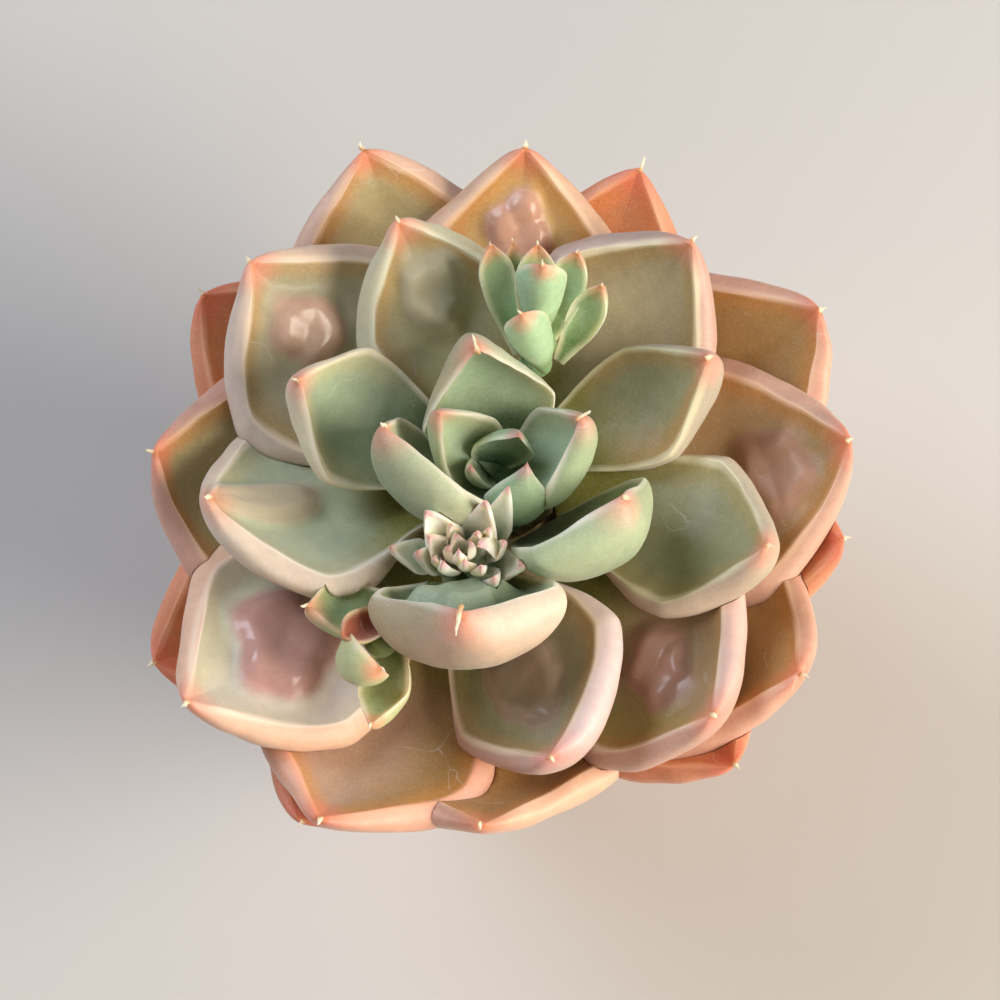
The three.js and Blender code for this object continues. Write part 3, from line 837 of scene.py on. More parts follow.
    def add_horn(self) -> None:
        """Adds the hard, crystalline point at the leaf's tip, sunk into the leaf and joined to its piece."""
        if not self.form.horn:
            return
        bpy.ops.object.select_all(action="DESELECT")
        bpy.ops.mesh.primitive_uv_sphere_add(segments=HORN_SIDES, ring_count=HORN_RINGS, calc_uvs=False)
        horn = bpy.context.object
        unit = points_of(horn.data)
        _, along, _, across, _ = self.form.axes()
        length = self.form.horn
        h = (1 - unit[:, 2]) / 2
        blunt = np.sqrt(np.clip(1 - (2 * h - 1) ** HORN_BLUNTNESS, 0, 1))
        radius = HORN_RADIUS * min(length, 1.0) * (1 - HORN_TAPER * h) * blunt
        angle = np.arctan2(unit[:, 1], unit[:, 0])
        outward = np.array([along[0], along[1], 0.0])
        direction = HORN_OUTWARD * outward / np.linalg.norm(outward) + np.array([0.0, 0.0, HORN_UPWARD])
        side = np.cross(direction, across)
        base = self.form.tip_point(0.0)
        points = base + np.outer((h - HORN_SUNK) * length, direction)
        points += np.outer(radius * np.cos(angle), across) + np.outer(radius * np.sin(angle), side)
        points += ripple(points, HORN_WAVE, self.seed + HORN_SEED) * HORN_ROUGHNESS * min(length, 1.0)
        set_points(horn.data, (points + PLANT_SHIFT) * MM)
        face_outwards(horn)
        values = {measure: np.zeros(len(h)) for measure in Measure}
        values[Measure.HORN] = np.clip(0.5 + h, 0, 1)
        values[Measure.ALONG] = np.ones(len(h))
        write_layers(horn.data, values)
        self.piece = join([self.piece, horn])


def swell(piece: bpy.types.Object, growth: float) -> None:
    """Moves every point of a piece growth millimetres out along its normal."""
    mesh = piece.data
    normals = np.array([v.normal for v in mesh.vertices])
    set_points(mesh, points_of(mesh) + normals * growth * MM)


def surface_of(piece: bpy.types.Object) -> BVHTree:
    """Sorts the faces of a piece by place, to tell quickly what crosses it."""
    mesh = piece.data
    return BVHTree.FromPolygons([v.co for v in mesh.vertices], [tuple(p.vertices) for p in mesh.polygons])


def keep_largest(piece: bpy.types.Object) -> None:
    """Deletes all of a mesh but its largest connected part."""
    mesh = piece.data
    group = np.arange(len(mesh.vertices))
    ends = np.empty(len(mesh.edges) * 2, int)
    mesh.edges.foreach_get("vertices", ends)
    ends = ends.reshape(-1, 2)
    while True:
        low = np.minimum(group[ends[:, 0]], group[ends[:, 1]])
        before = group.copy()
        np.minimum.at(group, ends[:, 0], low)
        np.minimum.at(group, ends[:, 1], low)
        group = group[group]
        if np.array_equal(before, group):
            break
    names, counts = np.unique(group, return_counts=True)
    if len(names) == 1:
        return
    keep = group == names[np.argmax(counts)]
    select_only(piece)
    bpy.ops.object.mode_set(mode="EDIT")
    bpy.ops.mesh.select_all(action="DESELECT")
    bpy.ops.object.mode_set(mode="OBJECT")
    mesh.vertices.foreach_set("select", ~keep)
    bpy.ops.object.mode_set(mode="EDIT")
    bpy.ops.mesh.delete(type="VERT")
    bpy.ops.object.mode_set(mode="OBJECT")


def carve(piece: bpy.types.Object, cutter: bpy.types.Object) -> None:
    """Takes a cutter's room out of a piece."""
    apply_modifier(piece, "BOOLEAN", operation="DIFFERENCE", solver="MANIFOLD", object=cutter)


# Skins of the tiers of leaves, from the middle of the rosette outwards
# Their edge, ridge, belly and side colours carry painted light and shade, as in LeafSkin
INNER_SKIN = LeafSkin(
    face="#9ab08e", root="#667c50", edge="#adb68a", ridge="#eee8d4", hull="#a0b28a", belly_shade="#8ca07a",
    blush="#de9486", blister="#9aa98a", blush_reach=5, bloom=0.2,
)
MIDDLE_SKIN = LeafSkin()
OUTER_SKIN = LeafSkin(
    face="#b18a50", edge="#c4863e", hull="#dba68c", ridge="#f2caa6", blush="#e27a60", root="#8a7e2a",
    belly_shade="#b88e6e",
)
LOWEST_SKIN = LeafSkin(
    face="#c47e4e", edge="#d07a40", hull="#de906a", belly_shade="#c07c58", ridge="#f0b48c", blush="#dd6c54",
    root="#805e2c", blush_reach=6.0,
)
YOUNG_SKIN = LeafSkin(
    face="#7c9876", root="#4c6846", edge="#8faa82", ridge="#d2d8be", hull="#96b28c", belly_shade="#78946e",
    blush="#c67a84", blush_reach=2.4, bloom=0.2, patch=2.0, mottle=0.8,
)
# Pushed near white: partly the young leaves' pale tone, partly painted light lifting them out of the shade
# round them
CREST_SKIN = replace(
    YOUNG_SKIN, face="#e0ebd6", edge="#e8f0de", root="#b6cca6", hull="#e8f0de", belly_shade="#d2e0c6",
    ridge="#faf6ee", blush="#da8f9c",
)
OFFSET_SKIN = LeafSkin(
    face="#98bb88", root="#6a8e52", edge="#a8c492", ridge="#e2e2c2", hull="#aacc9e", belly_shade="#94b888",
    blush="#ee8a68", blush_reach=3.2, bloom=0.2, patch=2.0, mottle=0.8,
)
LOWER_SKIN = replace(
    OFFSET_SKIN, face="#a3b074", root="#6b7c42", edge="#b4ba7c", ridge="#ecdcb8", hull="#c0c690",
    belly_shade="#a8b07a", blush="#f0906c",
)
FOLDED_SKIN = replace(LOWER_SKIN, face="#94b07e", hull="#b4c494", blush="#eca488", blush_reach=4.0)
SCARRED_SKIN = replace(
    LOWER_SKIN, face="#96503e", root="#7c4432", edge="#a2624c", ridge="#e6cfae", hull="#9aa070",
    belly_shade="#8a9064", blush="#b0644e", bloom=0.05, mottle=0.5,
)


@dataclass(frozen=True)
class LeafPlan:
    """A large leaf of the rosette: its CAD node, form, skin and material slot."""

    node: str
    form: LeafForm
    skin: LeafSkin
    slot: str


def tier(slot: str, skin: LeafSkin, rows: list[tuple]) -> list[LeafPlan]:
    """Makes the plans of one tier of leaves, in the order in which they are cut.

    Args:
        slot: The record's material slot of the tier, which also names its nodes.
        skin: The tier's skin.
        rows: Number, form and changes of the skin, one row a leaf.

    Returns:
        One plan a leaf.
    """
    return [
        LeafPlan(f"{slot}_{number}", form, replace(skin, **changes), slot) for number, form, changes in rows
    ]


# In each leaf's changes below, side, edge, ridge and belly colours carry painted light and shade too
INNER_LEAVES = tier("inner_leaf", INNER_SKIN, [
    (1, LeafForm((-6.7, 6.6, 79), (1.5, 1.5, 64), 4.6, 3.5, 1.4, bulge=0.1, widest=0.5, cup=2, horn=0), {}),
    (2, LeafForm((8.9, 6.4, 78), (0, 2, 63.5), 6, 4.4, 1.2, bulge=0.16, widest=0.5, roll=-28, cup=2.4,
                 horn=1.8), {}),
    (3, LeafForm((-2.6, 14.1, 79), (0.5, 4, 62.5), 8.1, 5, 3.4, bulge=0.06, widest=0.42, shoulder=1.1,
                 cup=3.2, horn=2.2),
     {"hull": "#b4ac8a", "hull_clock": "#c2c7ac", "blush": "#e29682"}),
    (4, LeafForm((-4.4, -16.5, 80), (-3, -7.5, 62.5), 10, 6, 3, bulge=0.2, roll=12, cup=7, horn=4,
                 blister=Blister(0.56, -0.5, 5.5, 6.5, 6, lobes=0)),
     # Lighter anticlockwise and darker clockwise hull: partly own tone, partly painted light from the key
     # lamp on the right
     {"hull_clock": "#b4a682", "hull_anti": "#dccdb6", "hull": "#d6ae92", "blush": "#ec9680",
      "belly_shade": "#bdb196", "blister_gloss": 0.0}),
    # Inner leaf 5's face and hull are lighter than the tier's: painted light on a leaf the key lamp leaves
    # in shade
    (5, LeafForm((13.8, -3.2, 79), (3.5, -2.3, 62.5), 9.2, 6.5, 1.4, bulge=0.12, roll=-52, cup=2.6),
     {"face": "#b0bf9c", "hull": "#b0c098"}),
    (6, LeafForm((-12.7, 5, 79), (0.3, 0, 63), 8, 5.5, 1, bulge=0.2, roll=60, cup=3),
     {"face": "#a3b08e", "hull": "#a6b088", "blush": "#dc8c7a", "hull_anti": "#b8c09a"}),
    (7, LeafForm((-22.9, 11.4, 76), (-5, 6, 61), 8, 6, 2.5, bulge=0.08),
     {"face": "#a6b896", "hull": "#dfd6b4", "ridge": "#f5ead0", "edge": "#c0bc8e"}),
])

MIDDLE_LEAVES = tier("middle_leaf", MIDDLE_SKIN, [
    (1, LeafForm((23.7, 14.8, 74), (4.5, 7.5, 60), 7, 6.5, 3.5, widest=0.57, bulge=0.12),
     {"face": "#a19a74", "ridge": "#e4dcb8", "anti": "#9a9d7e", "clock": "#b8935a", "hull": "#b8ac96"}),
    (2, LeafForm((30.1, -7.1, 73), (5.5, 4.5, 59), 8.8, 7, 4, bulge=0.22),
     {"face": "#9c9b76", "ridge": "#e8e0be", "hull": "#c0b49a", "hull_clock": "#c8b09a", "edge": "#b09e66"}),
    (3, LeafForm((5.7, -30.8, 71), (-3.5, -7, 59), 10.5, 7, 4, roll=30, widest=0.53,
                 blister=Blister(0.54, -0.5, 6.5, 6, 1.8, lobes=0.15)),
     # Its pale anticlockwise hull is painted light from the key lamp on the right
     {"face": "#a8a284", "clock": "#a3a878", "hull_anti": "#e2ccc8", "hull": "#cfa898", "blush": "#f09a90",
      "blister": "#b8a08e"}),
    (5, LeafForm((-11.7, 31.4, 74), (2, 7, 59), 8.8, 7, 3.5, blister=Blister(0.7, -0.5, 6, 5, 1.8)),
     {"face": "#b2ab82", "ridge": "#e8e6cc", "blister": "#c4bca0", "hull": "#c9c4a4",
      "blister_gloss": 0.35}),
    (4, LeafForm((-29.1, 27.6, 71), (-4.5, 6.5, 58), 12.5, 7, 3.5, blister=Blister(0.7, 0.5, 6, 5, 1.8)),
     {"face": "#b2aa8a", "blister": "#cba492", "hull_anti": "#d8c4b4", "hull": "#dcc0a8"}),
    (6, LeafForm((-32.7, -1.4, 73), (-6, 5, 59), 11.5, 7, 4, roll=25, swing=-1,
                 blister=Blister(0.72, -1, 10, 3.5, 1.6)),
     {"face": "#b8c0a2", "hull": "#dfccb6", "blush": "#e09a7c", "ridge": "#f4e8d6", "blister": "#c4b39a",
      "edge": "#b9b48e"}),
    (7, LeafForm((22.5, 30.3, 71), (1, 9, 57), 10.5, 7, 3.5),
     {"face": "#b3a078", "edge": "#b08f56", "ridge": "#f6e6c2", "anti": "#a8906a", "hull_anti": "#bfa698"}),
    (8, LeafForm((-35.1, -24.3, 69), (-6.5, 0.5, 56), 12, 7.5, 4,
                 blister=Blister(0.62, 0, 8.5, 7.5, 3.2, lobes=0.3)),
     {"face": "#c8c0ac", "ridge": "#f8e0ca", "blister": "#ca9088", "clock": "#cdccac", "anti": "#d2c0b8",
      "hull": "#ecc0a2", "edge": "#ccc0a2"}),
    (9, LeafForm((23.7, -25.6, 69), (4.5, -5.5, 56), 12, 7, 4, roll=18,
                 blister=Blister(0.63, 0, 5.5, 5.5, 1.8)),
     # Its pale anticlockwise hull is painted light from the key lamp on the right
     {"face": "#ab9068", "clock": "#a39c50", "blister": "#b4897c", "hull_anti": "#e2bfb4",
      "hull": "#d2a692"}),
])

OUTER_LEAVES = tier("outer_leaf", OUTER_SKIN, [
    (1, LeafForm((3, 43.7, 67), (0.5, 7, 54), 12, 7, 3.5, blister=Blister(0.74, 0, 5.5, 5, 1.8)),
     {"face": "#c49c62", "blister": "#cc9c8c", "clock": "#c9a064", "hull": "#dab092"}),
    (2, LeafForm((40.4, 7.4, 66), (7, 1.5, 54), 13, 7, 4, blister=Blister(0.72, -0.5, 6, 6, 1.4)),
     {"face": "#b29062", "blister": "#ba8c76", "hull": "#d6a890", "blister_gloss": 0.45}),
    (3, LeafForm((-40.4, 6, 66), (-7, 1.5, 54), 14, 7, 4), {"face": "#aa9c6c", "hull": "#d0a08c"}),
    (4, LeafForm((-20.1, -36.7, 65), (-5, -6, 53), 12.5, 7, 4),
     {"face": "#ae8e74", "clock": "#b89886", "anti": "#a67e3c", "hull": "#e8ae92", "ridge": "#f6b494"}),
    (5, LeafForm((34.5, -20.2, 65), (6, -4, 53), 14, 7, 4), {}),
    (6, LeafForm((-16.6, 44.4, 65), (-4, 6.5, 53), 13, 7, 3.5), {"face": "#b2a070", "hull": "#dcb49c"}),
    (7, LeafForm((37.8, 23.8, 65), (5.5, 6, 52), 14, 7, 4), {}),
    (8, LeafForm((-2.3, -36.9, 63), (-4, -6.5, 52), 15, 7, 5, swing=2.5),
     {"face": "#a87e44", "hull": "#eab898", "hull_clock": "#cf9c88", "blush": "#e08560"}),
])

LOWEST_LEAVES = tier("lowest_leaf", LOWEST_SKIN, [
    (1, LeafForm((17.1, 43.5, 61), (2.5, 6.5, 50), 11.5, 6, 2.5, horn=1.8), {}),
    (2, LeafForm((40.3, -3, 61), (7, -1, 50), 10.5, 6, 2.5), {}),
    (3, LeafForm((26.8, -29.8, 61), (4.5, -5, 50), 9.5, 6, 2.5), {}),
    (4, LeafForm((-22.6, -36, 59), (-5, -5, 50), 11.5, 6, 2.5), {}),
    (5, LeafForm((-40, -18, 61), (-6.5, -2.5, 50), 13, 6, 2.5), {}),
    (6, LeafForm((-35.6, 27.4, 61), (-5, 4.5, 50), 13, 6, 2.5), {}),
])


def small(tip: Point, root: Point, half: float, thick: float, sag: float, **more: float) -> LeafForm:
    """The form of a small leaf of a crown or an offset, which bulges less and is widest at its middle."""
    settings = {"bulge": SMALL_OVERHANG_SHARE, "widest": SMALL_WIDEST_AT, "horn": 0.25 * half, **more}
    return LeafForm(tip, root, half, thick, sag, **settings)


@dataclass(frozen=True)
class BunchPlan:
    """Small leaves that grow together round a core, a string of balls out from the stem.

    The buds are the tiny leaves between the others, which the CAD model leaves out.
    """

    node: str
    slot: str
    skin: LeafSkin
    core: tuple[tuple[Point, float], ...]
    leaves: tuple[LeafForm, ...]
    buds: tuple[LeafForm, ...] = ()
    own_skins: tuple[tuple[int, LeafSkin], ...] = ()


BUNCHES = (
    BunchPlan("main_crown", "young_leaf", YOUNG_SKIN, (((0, 3.5, 64.3), 2.2), ((0.8, -1, 64.3), 2.2)), (
        small((2.9, 1.3, 77), (1, -2, 65), 3.8, 2.2, 1, roll=-150, horn=0),
        small((2.2, 4.9, 75.5), (-1.6, 3.8, 65.3), 3.6, 1.6, 0.8, cup=1.2, roll=72, horn=0),
        small((-3.2, 1.7, 75), (-0.5, 3.5, 64.5), 2, 1.4, 0.6, horn=0),
    )),
    BunchPlan("second_crown", "young_leaf", CREST_SKIN, (
        ((-3.5, -5, 64), 2.2), ((-6, -7, 66), 2), ((-2.4, -7.4, 66), 2),
    ), tuple(replace(form, horn=0.0, widest=0.45, shoulder=1.0) for form in (
        small((-8.2, -5.1, 79.5), (-4.6, -7.2, 67), 2.3, 1.5, 0.6, roll=-35),
        small((-1.7, -3.6, 79), (-3.2, -7, 67), 2.2, 1.5, 0.4),
        small((0.9, -1.7, 78), (-1.6, -6.4, 66), 1.9, 1.4, 0.5),
        small((-12.2, -7.1, 73), (-6.4, -7.2, 65.5), 2.1, 1.5, 0.6),
        small((-7.8, -6.9, 76), (-5, -7.6, 67), 1.9, 1.3, 0.3, roll=-30),
        small((-9.1, -8.1, 74.5), (-6, -8, 66.5), 1.7, 1.3, 0.4),
        small((-4.8, -6.7, 76), (-4.4, -7.4, 67.5), 1.2, 1, 0.2),
        small((-2.6, -6.4, 76), (-3, -7.2, 67.5), 1.2, 1, 0.2),
        small((-2.5, -8, 76), (-1.2, -6.8, 67), 1.6, 1.4, 0.6, roll=180),
        small((-0.7, -11.2, 75), (-2.2, -8, 66.5), 1.5, 1.3, 0.6),
        small((2.2, -9.6, 74.5), (-1.4, -7.6, 66), 1.8, 1.5, 0.6, roll=20),
        small((-6.3, -9.6, 75.5), (-4.8, -7.8, 67), 1.4, 1.2, 0.4),
        small((-3.9, -9.3, 75.5), (-3.6, -7.6, 67), 1.2, 1, 0.3),
        small((-5.6, -7.8, 76), (-5, -7.6, 67.5), 1, 0.9, 0.2),
    )), tuple(replace(form, horn=0.0, shoulder=1.0) for form in (
        small((-4.6, -8.4, 76.3), (-4.6, -7.9, 68), 0.9, 0.8, 0.2),
        small((-3.4, -7.6, 76.8), (-3.8, -7.5, 68), 0.8, 0.8, 0.2),
        small((-1.3, -6, 76.4), (-2.2, -7, 68), 1, 0.9, 0.2),
        small((0.3, -7.2, 75.8), (-1.6, -7.4, 67.5), 1.1, 0.9, 0.3),
        small((-2.2, -10, 75.6), (-2.8, -8.4, 67.5), 1, 0.9, 0.3),
        small((-5.4, -5.6, 76.2), (-4.6, -6.6, 67.5), 1.1, 0.9, 0.3),
        small((-7.2, -8.9, 75.2), (-5.6, -8, 67.5), 1, 0.9, 0.3),
    ))),
    BunchPlan("upper_offset", "offset_leaf", OFFSET_SKIN, (
        ((2, 7, 61.5), 1.7), ((3.6, 12, 61.8), 1.7), ((4.2, 17.4, 65), 2), ((4.6, 18.6, 68), 2),
    ), (
        small((-1.1, 28, 75.5), (2.2, 17.6, 67.5), 2.1, 2.6, 1.2, widest=0.62, shoulder=2.6),
        small((1.4, 29, 74), (3.2, 18.4, 67.5), 1.8, 1.6, 0.8, shoulder=2),
        small((4.3, 28, 75.5), (4, 18.4, 68), 2.5, 2.4, 0.8, widest=0.6, shoulder=2.2),
        small((4.8, 23.8, 80), (4.4, 19.8, 68.5), 2.9, 3.2, -1.6, widest=0.6, shoulder=2.4, roll=180),
        small((8.8, 27, 75.5), (5, 18, 67.5), 2.3, 2.6, 1.4, widest=0.62, shoulder=2.4),
        small((2.3, 18.8, 78), (5.2, 16, 67.5), 2.6, 2.8, -0.8, widest=0.6, shoulder=2.4, roll=150),
        small((11.6, 23.2, 75), (6.8, 16.8, 66.5), 2.1, 2.2, 1.2, widest=0.6, shoulder=1.8),
    )),
    BunchPlan("lower_offset", "offset_leaf", LOWER_SKIN, (
        ((-5, -7.5, 61.5), 1.8), ((-7.5, -11, 63.5), 2), ((-10.5, -14.5, 65.5), 2.4),
        ((-13.5, -16.5, 66.5), 2),
    ), (
        small((-21.6, -13.8, 72), (-11.5, -12, 66), 3.7, 3.4, 1, widest=0.6, roll=14),
        small((-13.1, -21.2, 73), (-16.7, -16.4, 66.8), 3.2, 3.6, 0.4, widest=0.6, shoulder=2, roll=-80),
        small((-14.4, -26.9, 70), (-12, -15, 65), 3, 3, 1.2, widest=0.6, roll=18),
        small((-17.6, -17.4, 73), (-11, -13, 66.5), 2, 2.4, 0.2, widest=0.65, shoulder=3, cup=1.4, horn=0),
    ), own_skins=((0, FOLDED_SKIN), (3, SCARRED_SKIN))),
)


@dataclass
class Rosette:
    """The large leaves, each cut clear of the leaves above it and of the crowns, the offsets and the stem.
    """

    plans: list[LeafPlan]

    def build(self) -> None:
        """Builds, cuts and dresses every large leaf."""
        cutters = []
        for name in ("stem", *(bunch.node for bunch in BUNCHES)):
            cutter = grown_node(name)
            cutters.append((cutter, surface_of(cutter)))
        for number, plan in enumerate(self.plans):
            leaf = FleshyLeaf("fleshy_" + plan.node, plan.form, seed=number + 1)
            leaf.grow()
            next_cutter = leaf.grown(LEAF_GAP)
            surface = surface_of(leaf.piece)
            for cutter, cutter_surface in cutters:
                if surface.overlap(cutter_surface):
                    carve(leaf.piece, cutter)
            keep_largest(leaf.piece)
            leaf.write_measures(leaf.piece.data)
            leaf.add_horn()
            cutters.append((next_cutter, surface_of(next_cutter)))
            dress(leaf.piece, SkinPainter("echeveria leaf skin " + plan.node, plan.skin).paint())
            mount(leaf.piece, smooth_to=50, node=plan.node)
        for cutter, _ in cutters:
            bpy.data.objects.remove(cutter)


@dataclass
class Bunch:
    """A crown or an offset: small leaves round a core, joined into one piece."""

    plan: BunchPlan
    seed: int
    columns: int = 56
    rows: int = 48
    ball_sides: int = 24
    ball_rings: int = 16

    def build(self) -> None:
        """Builds and dresses the bunch."""
        shared = SkinPainter("echeveria leaf skin " + self.plan.node, self.plan.skin).paint()
        own = {
            number: SkinPainter(f"echeveria leaf skin {self.plan.node} {number}", skin).paint()
            for number, skin in self.plan.own_skins
        }
        parts = []
        for at, radius in self.plan.core:
            ball = self._ball(at, radius)
            dress(ball, shared)
            parts.append(ball)
        for number, form in enumerate(self.plan.leaves + self.plan.buds):
            leaf = FleshyLeaf("part", form, self.columns, self.rows, self.seed + number)
            leaf.grow()
            leaf.add_horn()
            dress(leaf.piece, own.get(number, shared))
            parts.append(leaf.piece)
        piece = join(parts)
        piece.name = "fleshy_" + self.plan.node
        mount(piece, smooth_to=50, node=self.plan.node)

    def _ball(self, at: Point, radius: float) -> bpy.types.Object:
        """One ball of the core, which carries the measures of a leaf's root."""
        bpy.ops.object.select_all(action="DESELECT")
        bpy.ops.mesh.primitive_uv_sphere_add(
            segments=self.ball_sides, ring_count=self.ball_rings, calc_uvs=False
        )
        ball = bpy.context.object
        points = points_of(ball.data) * radius + np.array(at) + PLANT_SHIFT
        set_points(ball.data, points * MM)
        depths = {Measure.TIP: CORE_DEPTH, Measure.RIDGE: CORE_DEPTH, Measure.RIM: -CORE_DEPTH}
        write_layers(ball.data, {m: np.full(len(points), depths.get(m, 0.0)) for m in Measure})
        return ball


def grown_node(name: str) -> bpy.types.Object:
    """A merged copy of a CAD node that is a gap larger all round, for cutting the leaves beside it."""
    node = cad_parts[name]
    cutter = bpy.data.objects.new("cutter_" + name, node.data.copy())
    bpy.context.scene.collection.objects.link(cutter)
    select_only(cutter)
    bpy.ops.object.mode_set(mode="EDIT")
    bpy.ops.mesh.select_all(action="SELECT")
    bpy.ops.mesh.remove_doubles(threshold=1e-6)
    bpy.ops.object.mode_set(mode="OBJECT")
    cutter.data.normals_split_custom_set_from_vertices([v.normal for v in cutter.data.vertices])
    swell(cutter, GAP)
    return cutter


@dataclass(frozen=True)
class Terracotta:
    """Unglazed terracotta: the eye gets a matt, grainy surface, a cloudy change of tone and pale lime
    bloom where water has dried."""

    clay: str = "#b5673f"
    dark: str = "#8f4a2b"
    pale: str = "#cf8a62"
    lime: str = "#dccbb6"
    grain: float = 0.5
    cloud: float = 14.0
    bloom: float = 9.0

    def material(self) -> bpy.types.Material:
        """Builds the material."""
        material = blank_material("unglazed terracotta")
        tree = material.node_tree
        place = add_node(tree, "ShaderNodeTexCoord").outputs["Object"]
        noises = {}
        patterns = (("cloud", self.cloud, 4.0), ("grain", self.grain, 3.0), ("bloom", self.bloom, 6.0))
        for name, size, detail in patterns:
            settings = {"Vector": place, "Scale": 1 / (size * MM), "Detail": detail, "Roughness": 0.62}
            noises[name] = add_node(tree, "ShaderNodeTexNoise", settings).outputs["Fac"]
        colour = linear(self.clay)
        layers = (
            (self.dark, noises["cloud"], 0.55, 0.75, 0.6),
            (self.pale, noises["cloud"], 0.45, 0.25, 0.7),
            (self.dark, noises["grain"], 0.62, 0.75, 0.5),
            (self.lime, noises["bloom"], 0.54, 0.7, 0.5),
        )
        for tint, pattern, start, full, strength in layers:
            limits = {"Value": pattern, "From Min": start, "From Max": full, "To Max": strength}
            share = add_node(tree, "ShaderNodeMapRange", limits, interpolation_type="SMOOTHSTEP").outputs[0]
            inputs = {0: share, MIX_A: colour, MIX_B: linear(tint)}
            colour = add_node(tree, "ShaderNodeMix", inputs, data_type="RGBA").outputs[MIX_RESULT]
        bump = {"Height": noises["grain"], "Strength": 0.5, "Distance": 0.15 * MM}
        relief = add_node(tree, "ShaderNodeBump", bump).outputs["Normal"]
        surface = {"Base Color": colour, "Roughness": 0.88, "IOR": 1.5, "Normal": relief}
        shader = add_node(tree, "ShaderNodeBsdfPrincipled", surface)
        add_node(tree, "ShaderNodeOutputMaterial", {"Surface": shader.outputs["BSDF"]})
        return material


@dataclass
class Pot:
    """A small thrown flower pot with a rim band and a drain hole, in millimetres."""

    height: float = 44.0
    foot_radius: float = 21.0
    rim_radius: float = 30.0
    band: float = 11.0
    band_step: float = 1.6
    wall: float = 3.4
    floor: float = 4.0
    edge: float = 0.8
    drain_radius: float = 4.0
    rounding: float = 0.4
    sides: int = 160

    def inner_radius(self, z: float) -> float:
        """Radius of the inside at the height z."""
        foot = self.foot_radius - self.wall
        rim = self.rim_radius - self.wall
        return foot + (rim - foot) * z / self.height

    def profile(self) -> list[tuple[float, float]]:
        """Radius and height of each ring, from the drain hole under the foot round to its top."""
        band_foot = self.height - self.band
        return [
            (self.drain_radius, 0),
            (self.foot_radius - self.edge, 0),
            (self.foot_radius, self.edge),
            (self.rim_radius - self.band_step, band_foot),
            (self.rim_radius - self.edge / 2, band_foot),
            (self.rim_radius, band_foot + self.edge),
            (self.rim_radius, self.height - self.edge),
            (self.rim_radius - self.edge, self.height),
            (self.inner_radius(self.height) + self.edge, self.height),
            (self.inner_radius(self.height - self.edge), self.height - self.edge),
            (self.inner_radius(self.floor), self.floor),
            (self.drain_radius, self.floor),
        ]

    def build(self) -> None:
        """Turns the pot, rounds its edges and dresses it."""
        piece = turned("thrown_pot", self.profile(), self.sides, closed=True)
        edges = {"segments": 3, "limit_method": "ANGLE", "angle_limit": 0.3}
        apply_modifier(piece, "BEVEL", width=self.rounding * MM, **edges)
        dress(piece, Terracotta().material())
        mount(piece, smooth_to=40, node="pot")


@dataclass(frozen=True)
class EarthyFinish:
    """A matt, crumbly natural material such as peat, bark, perlite or the corky skin of a stem: no gloss,
    strong change of tone from grain to grain, and deep small pits."""

    name: str
    main: str
    dark: str
    pale: str
    grain: float
    relief: float

    def material(self) -> bpy.types.Material:
        """Builds the material."""
        material = blank_material(self.name)
        tree = material.node_tree
        place = add_node(tree, "ShaderNodeTexCoord").outputs["Object"]
        settings = {"Vector": place, "Scale": 1 / (self.grain * MM), "Detail": 5.0, "Roughness": 0.65}
        grain = add_node(tree, "ShaderNodeTexNoise", settings).outputs["Fac"]
        colour = linear(self.main)
        for tint, start, full in ((self.dark, 0.52, 0.4), (self.pale, 0.54, 0.68)):
            limits = {"Value": grain, "From Min": start, "From Max": full, "To Max": 0.85}
            share = add_node(tree, "ShaderNodeMapRange", limits).outputs[0]
            inputs = {0: share, MIX_A: colour, MIX_B: linear(tint)}
            colour = add_node(tree, "ShaderNodeMix", inputs, data_type="RGBA").outputs[MIX_RESULT]
        bump = {"Height": grain, "Strength": 0.7, "Distance": self.relief * MM}
        relief = add_node(tree, "ShaderNodeBump", bump).outputs["Normal"]
        surface = {"Base Color": colour, "Roughness": 0.92, "Normal": relief}
        shader = add_node(tree, "ShaderNodeBsdfPrincipled", surface)
        add_node(tree, "ShaderNodeOutputMaterial", {"Surface": shader.outputs["BSDF"]})
        return material


@dataclass
class Stem:
    """The short corky stem with the ringed scars of shed leaves, in millimetres."""

    radius: float = 6.3
    foot: float = 20.0
    top: float = 62.0
    end_radius: float = 0.4
    ring_step: float = 3.0
    ring_depth: float = 0.45
    ring_lip: float = 0.25
    ring_sharpness: float = 0.6
    ring_lean: float = 0.5
    sides: int = 64
    rows: int = 126

    # Wavelength, height and seed of the ripples of the bark
    bark_waves: tuple[tuple[float, float, int], ...] = ((4.0, 0.16, 901), (1.4, 0.07, 902))

    def build(self) -> None:
        """Turns the stem, ripples its skin and dresses it."""
        profile = [(self.end_radius, self.foot)]
        for row in range(self.rows + 1):
            z = self.foot + (self.top - self.foot) * row / self.rows
            scar = abs(math.sin(math.pi * (z - self.foot) / self.ring_step)) ** self.ring_sharpness
            profile.append((self.radius + self.ring_lip - self.ring_depth * (1 - scar), z))
        profile.append((self.end_radius, self.top))
        piece = turned("corky_stem", profile, self.sides, closed=False)
        points = points_of(piece.data) / MM
        wall = np.hypot(points[:, 0], points[:, 1]) > 1
        shift = sum(ripple(points, wave, seed) * height for wave, height, seed in self.bark_waves)
        angle = np.arctan2(points[:, 1], points[:, 0])
        shift[:, 2] += self.ring_lean * np.sin(2 * angle + points[:, 2]) * wall
        shift[:, 2] *= (points[:, 2] > self.foot + 1) & (points[:, 2] < self.top - 1)
        set_points(piece.data, (points + shift * wall[:, None]) * MM)
        dress(piece, EarthyFinish("corky stem skin", "#7d7048", "#524b2e", "#a0946a", 1.6, 0.3).material())
        mount(piece, smooth_to=50, node="stem")


